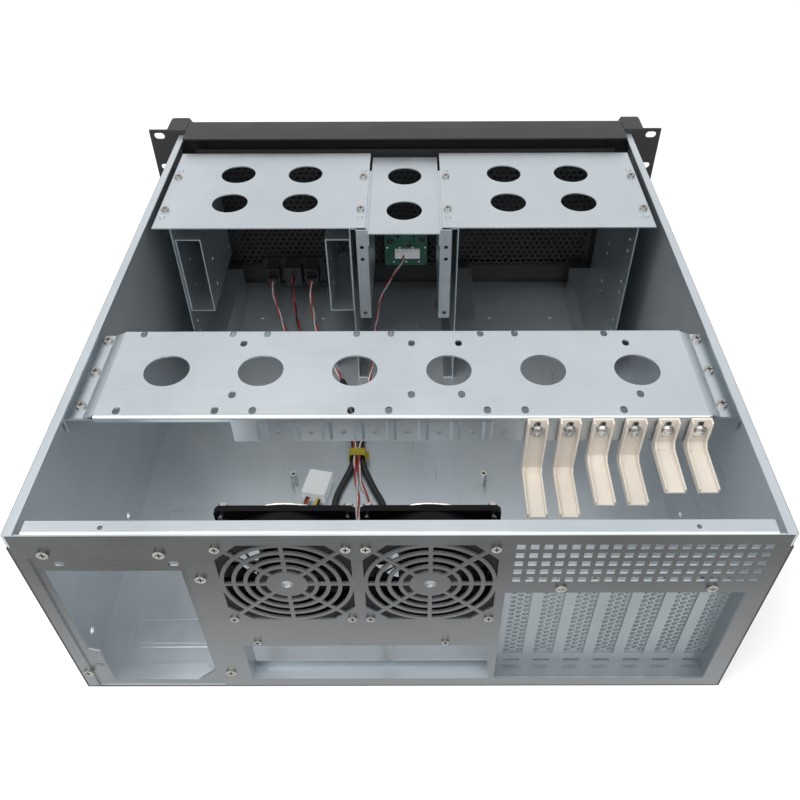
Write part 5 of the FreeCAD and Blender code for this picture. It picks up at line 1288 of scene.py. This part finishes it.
@dataclass
class Wiring(Assembly):
    """The free leads, the yellow tie round them, their connectors and the four-way plug."""

    tie_turns: int = 7
    tie_strand: float = 0.5 * MM
    tie_steps: int = 44
    tie_squareness: float = 0.82
    knot_room: float = 3.5 * MM
    knot_middle: float = 2.25 * MM
    knot_steps: int = 72
    knot_size: float = 0.9
    knot_strand: float = 1.15
    tail_strand: float = 1.1
    tail_steps: int = 8
    strand_sides: int = 8
    way_pitch: float = 2.54 * MM
    connector_length: float = 14.0 * MM
    neck_length: float = 3.5 * MM
    neck_hidden: float = 0.5 * MM
    connector_step: float = 0.35 * MM
    connector_edge: float = 0.3 * MM
    contact_edge: float = 0.05 * MM
    contact_sunk: float = 0.3 * MM
    window_half: float = 0.55 * MM
    window_near: float = 9.5 * MM
    window_far: float = 6.0 * MM
    mouth_half: float = 0.6 * MM
    plug_edge: float = 0.7 * MM

    def build(self) -> None:
        """Make the leads and the pieces on them."""
        tie = self.tie()
        plug = self.plug()
        for lead in self.front_leads():
            on_it = self.connector(lead)
            self.note(lead.build([*on_it, tie] if lead.node == "board_lead" else on_it).name)
        for lead in self.fan_leads():
            self.note(lead.build(plug).name)

    def front_leads(self) -> list[Lead]:
        """List the leads from the front of the case.

        Returns:
            The four leads.
        """
        pair = (self.finishes.red, self.finishes.white)
        sleeve = (self.finishes.sleeve,)
        return [
            Lead("board_lead", 1.4, Twist.PAIR, pair, "connector", [
                (2.0, 36.6, 59.0), (2.0, 47.0, 59.0), (15.0, 56.0, 46.0), (26.0, 63.0, 27.0),
                (30.5, 79.0, 8.0), (31.0, 106.0, 2.7), (32.2, 138.0, 2.7), (35.6, 172.0, 2.7),
                (33.6, 201.0, 2.7), (33.8, 224.0, 8.2), (38.6, 244.0, 10.4), (38.9, 266.0, 10.2),
                (38.6, 280.0, 6.4), (35.2, 292.0, 2.7), (30.0, 302.0, 2.7), (25.4, 316.0, 2.7),
                (22.8, 331.0, 2.7), (22.8, 345.0, 2.7)]),
            Lead("power_lead", 1.4, Twist.PAIR, pair, "connector", [
                (138.0, 39.4, 30.0), (138.0, 50.0, 30.0), (132.0, 65.0, 18.0), (124.0, 84.0, 6.0),
                (116.0, 107.0, 2.7), (101.0, 138.0, 2.7), (84.0, 168.0, 2.7), (69.0, 196.0, 2.7),
                (56.4, 216.0, 4.0), (49.4, 234.0, 9.6), (42.9, 248.0, 10.4), (42.7, 266.0, 10.2),
                (41.7, 279.0, 6.6), (39.8, 292.0, 2.7), (37.6, 307.0, 2.7), (36.9, 327.0, 2.7),
                (36.9, 345.0, 2.7)]),
            Lead("port_lead", 2.7, Twist.SLEEVE, sleeve, "connector", [
                (117.0, 33.4, 31.0), (117.0, 48.0, 31.0), (113.0, 70.0, 15.0), (107.0, 93.0, 4.0),
                (94.0, 124.0, 4.0), (76.0, 154.0, 4.0), (61.0, 184.0, 4.0), (50.0, 212.0, 4.0),
                (44.0, 244.0, 5.1), (43.4, 268.0, 5.1), (50.5, 286.0, 4.0), (56.6, 303.0, 4.0),
                (57.5, 325.0, 4.0), (57.5, 345.0, 4.0)], 0.42, (self.finishes.red, self.finishes.dark)),
            Lead("reset_lead", 2.7, Twist.SLEEVE, sleeve, "connector", [
                (98.0, 39.4, 30.0), (98.0, 53.0, 30.0), (95.0, 73.0, 16.0), (89.0, 95.0, 4.0),
                (78.0, 125.0, 4.0), (64.0, 153.0, 4.0), (52.0, 183.0, 4.0), (42.5, 212.0, 4.0),
                (37.8, 244.0, 5.1), (36.7, 268.0, 5.1), (30.4, 283.0, 4.0), (24.6, 297.0, 4.0),
                (17.6, 310.0, 4.0), (14.0, 328.0, 4.0), (14.0, 345.0, 4.0)], 0.42, pair),
        ]

    def fan_leads(self) -> list[Lead]:
        """List the fans' leads, each from its fan to the plug.

        Returns:
            The two leads.
        """
        trio = (self.finishes.dark, self.finishes.red, self.finishes.yellow)
        return [
            Lead("fan_lead_left", 2.0, Twist.TRIO, trio, "plug", [
                (92.0, 440.0, 84.0), (92.0, 440.0, 58.0), (92.6, 438.0, 32.0), (93.6, 428.0, 14.0),
                (93.4, 411.0, 4.4), (91.4, 389.0, 3.3), (87.5, 362.0, 3.3), (84.6, 336.0, 3.3),
                (81.7, 316.34, 5.2), (79.2, 304.6, 5.2)]),
            Lead("fan_lead_right", 2.0, Twist.TRIO, trio, "plug", [
                (12.0, 440.0, 84.0), (12.0, 440.0, 55.0), (12.4, 434.0, 24.0), (15.4, 420.0, 7.0),
                (26.0, 402.0, 3.3), (47.0, 385.0, 3.3), (67.0, 363.0, 3.3), (73.4, 338.0, 3.3),
                (72.9, 318.21, 5.2), (70.4, 306.47, 5.2)]),
        ]

    def tie(self) -> Object:
        """Wind the yellow tie: turns of thin cord round the bundle, drawn into a knot beside it.

        Returns:
            The tie.
        """
        low, high = (Vector(corner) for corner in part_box("cable_tie"))
        thin = self.tie_strand
        left, right = low.x + self.knot_room + thin, high.x - thin
        under, over = low.z + thin, high.z - thin
        start, stop = low.y + thin, high.y - thin
        half_x, half_z = (right - left) / 2, (over - under) / 2
        line = []
        for index in range(self.tie_turns * self.tie_steps + 1):
            share = index / self.tie_steps
            angle = 2 * math.pi * share
            cosine, sine = math.cos(angle), math.sin(angle)
            stretch = max(abs(cosine), abs(sine)) ** self.tie_squareness
            x = (left + right) / 2 + max(-half_x, min(half_x, half_x * cosine / stretch))
            z = (under + over) / 2 + max(-half_z, min(half_z, half_z * sine / stretch))
            line.append(Vector((x, start + (stop - start) * share / self.tie_turns, z)))
        kit = MeshKit()
        kit.sweep(line, thin, self.strand_sides)
        centre = Vector((low.x + self.knot_middle, (low.y + high.y) / 2, (low.z + high.z) / 2))
        knot = []
        for index in range(self.knot_steps + 1):
            angle = 2 * math.pi * index / self.knot_steps
            round_it = 2.0 + math.cos(3 * angle)
            bend = Vector((math.sin(3 * angle),
                           math.cos(2 * angle) * round_it, math.sin(2 * angle) * round_it))
            knot.append(centre + bend * self.knot_size * MM)
        kit.sweep(knot, thin * self.knot_strand, self.strand_sides)
        for side in (-1, 1):
            tail = [centre + Vector((-0.2 * step, side * (0.5 + 0.62 * step), 0.5 + 0.34 * step)) * MM
                    for step in range(self.tail_steps)]
            kit.sweep(tail, thin * self.tail_strand, self.strand_sides)
        made = kit.make("tie_winding", self.finishes.tie)
        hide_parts("cable_tie")
        self.note(made.name)
        return made

    def connector(self, lead: Lead) -> list[Object]:
        """Make the small connector at a front lead's free end: a stepped housing and its contacts.

        Args:
            lead: the lead that it ends.

        Returns:
            The housing and the contacts.
        """
        x, behind, z = (part * MM for part in lead.route[-1])
        near = lead.ear_plane * MM + behind
        far = near + self.connector_length
        ways, half_wide, half_high = 3, 4.5 * MM, 3.3 * MM
        if lead.twist is Twist.PAIR:
            ways, half_wide, half_high = 2, 3.0 * MM, 2.5 * MM
        housing, contacts = MeshKit(), MeshKit()
        step, edge = self.connector_step, self.connector_edge
        thin, sunk = self.contact_edge, self.contact_sunk
        housing.brick((x - half_wide + step, near, z - half_high + step),
                      (x + half_wide - step, near + self.neck_length, z + half_high - step), edge)
        housing.brick((x - half_wide, near + self.neck_length - self.neck_hidden, z - half_high),
                      (x + half_wide, far, z + half_high), edge)
        top = z + half_high
        for way in range(ways):
            spot = x + (way - (ways - 1) / 2) * self.way_pitch
            contacts.brick((spot - self.window_half, far - self.window_near, top - sunk),
                           (spot + self.window_half, far - self.window_far, top + thin), thin)
            contacts.brick((spot - self.mouth_half, far - sunk, z - self.mouth_half),
                           (spot + self.mouth_half, far + thin, z + self.mouth_half), thin)
        made = housing.make(f"{lead.node}_connector", self.finishes.switch, smooth=False)
        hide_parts("lead_connectors")
        metal = contacts.make(f"{lead.node}_contacts", self.finishes.screw)
        self.note(made.name)
        self.note(metal.name)
        return [made, metal]

    def plug(self) -> list[Object]:
        """Dress the four-way plug and soften its edges.

        Returns:
            The plug, as the one piece on the fan leads.
        """
        self.dress(self.finishes.nylon, "power_plug")
        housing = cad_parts["power_plug"]
        soften(housing, self.plug_edge, 3)
        return [housing]


@dataclass
class Studio:
    """The pale floor, the soft light and the camera."""

    floor_size: float = 12.0
    floor_tone: float = 0.90
    floor_lift: float = 0.28
    floor_drop: float = 0.5 * MM
    light_level: float = 0.62
    lamps: tuple[tuple[str, Point, float], ...] = (
        ("key_lamp", (0.65, 0.55, 1.7), 17.0), ("fill_lamp", (-0.5, 1.3, 1.2), 7.0))
    lamp_size: float = 1.2
    lamp_target: Point = (0.0, 0.0, 0.1)
    lens: float = 36.494
    sensor: float = 36.0
    shift: tuple[float, float] = (-0.01634, -0.00458)
    eye: Point = (-0.008263, 0.509092, 0.526762)
    eye_turn: Point = (45.9759, 0.1732, 179.9692)

    def floor(self) -> Object:
        """Lay the floor: a plain pale sheet with a faint grain.

        Returns:
            The floor.
        """
        graph = MaterialGraph("floor_paper")
        grain = graph.noise(40.0, 4.0)
        tone = self.floor_tone
        colour = graph.mix(graph.spread(grain, 0.3, 0.7), (tone,) * 3, (tone + 0.02,) * 3)
        seen = graph.node("LightPath", {}, {}).outputs["Is Camera Ray"]
        lift = (self.floor_lift,) * 3
        graph.finish(Base_Color=colour, Roughness=graph.spread(grain, 0.3, 0.7, (0.85, 0.95)),
                     Emission_Color=graph.mix(seen, (0.0, 0.0, 0.0), lift), Emission_Strength=1.0)
        half = self.floor_size / 2
        mesh = bpy.data.meshes.new("floor")
        mesh.from_pydata([(x * half, y * half, -self.floor_drop)
                          for x, y in ((-1, -1), (1, -1), (1, 1), (-1, 1))], [], [(0, 1, 2, 3)])
        mesh.materials.append(graph.material)
        made = bpy.data.objects.new("floor", mesh)
        bpy.context.scene.collection.objects.link(made)
        return made

    def world(self) -> None:
        """Set an even pale surround that shows white behind the case and in its reflections."""
        world = bpy.data.worlds.new("studio")
        bpy.context.scene.world = world
        world.use_nodes = True
        graph = Graph(world.node_tree)
        path = graph.node("LightPath", {}, {}).outputs
        seen = Signal(graph, path["Is Camera Ray"]).at_least(path["Is Transmission Ray"])
        white = seen.at_least(path["Is Glossy Ray"])
        level = graph.spread(white, 0.0, 1.0, (self.light_level, 1.0))
        sky = graph.node("Background", {}, {"Color": (1.0, 1.0, 1.0), "Strength": level})
        graph.node("OutputWorld", {}, {"Surface": sky.outputs["Background"]})

    def lamp(self, name: str, spot: Point, power: float) -> Object:
        """Make one soft square lamp.

        Args:
            name: the lamp's name.
            spot: where it stands.
            power: its power in watts.

        Returns:
            The lamp.
        """
        light = bpy.data.lights.new(name, "AREA")
        light.shape = "SQUARE"
        light.size = self.lamp_size
        light.energy = power
        made = bpy.data.objects.new(name, light)
        made.location = spot
        made.rotation_euler = (Vector(self.lamp_target) - Vector(spot)).to_track_quat("-Z", "Y").to_euler()
        bpy.context.scene.collection.objects.link(made)
        return made

    def camera(self) -> None:
        """Stand the camera behind and above the case."""
        data = bpy.data.cameras.new("camera")
        data.lens = self.lens
        data.sensor_width = self.sensor
        data.shift_x, data.shift_y = self.shift
        made = bpy.data.objects.new("camera", data)
        made.location = self.eye
        made.rotation_euler = Euler([math.radians(angle) for angle in self.eye_turn], "XYZ")
        bpy.context.scene.collection.objects.link(made)
        bpy.context.scene.camera = made

    def build(self) -> None:
        """Set up the studio."""
        self.world()
        self.floor()
        [self.lamp(*lamp) for lamp in self.lamps]
        self.camera()
        bpy.context.scene.view_settings.view_transform = "Standard"


def main() -> None:
    """Dress the case, add its details, light it and log how many pieces were made."""
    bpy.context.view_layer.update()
    finishes = Finishes()
    assemblies = [Shell(finishes), RearEnd(finishes), Fans(finishes), CardBar(finishes),
                  DriveCages(finishes), Front(finishes), Wiring(finishes)]
    for assembly in assemblies:
        assembly.build()
    Studio().build()
    log.info("%d pieces made", sum(len(assembly.pieces) for assembly in assemblies))


if __name__ == "__main__":
    main()
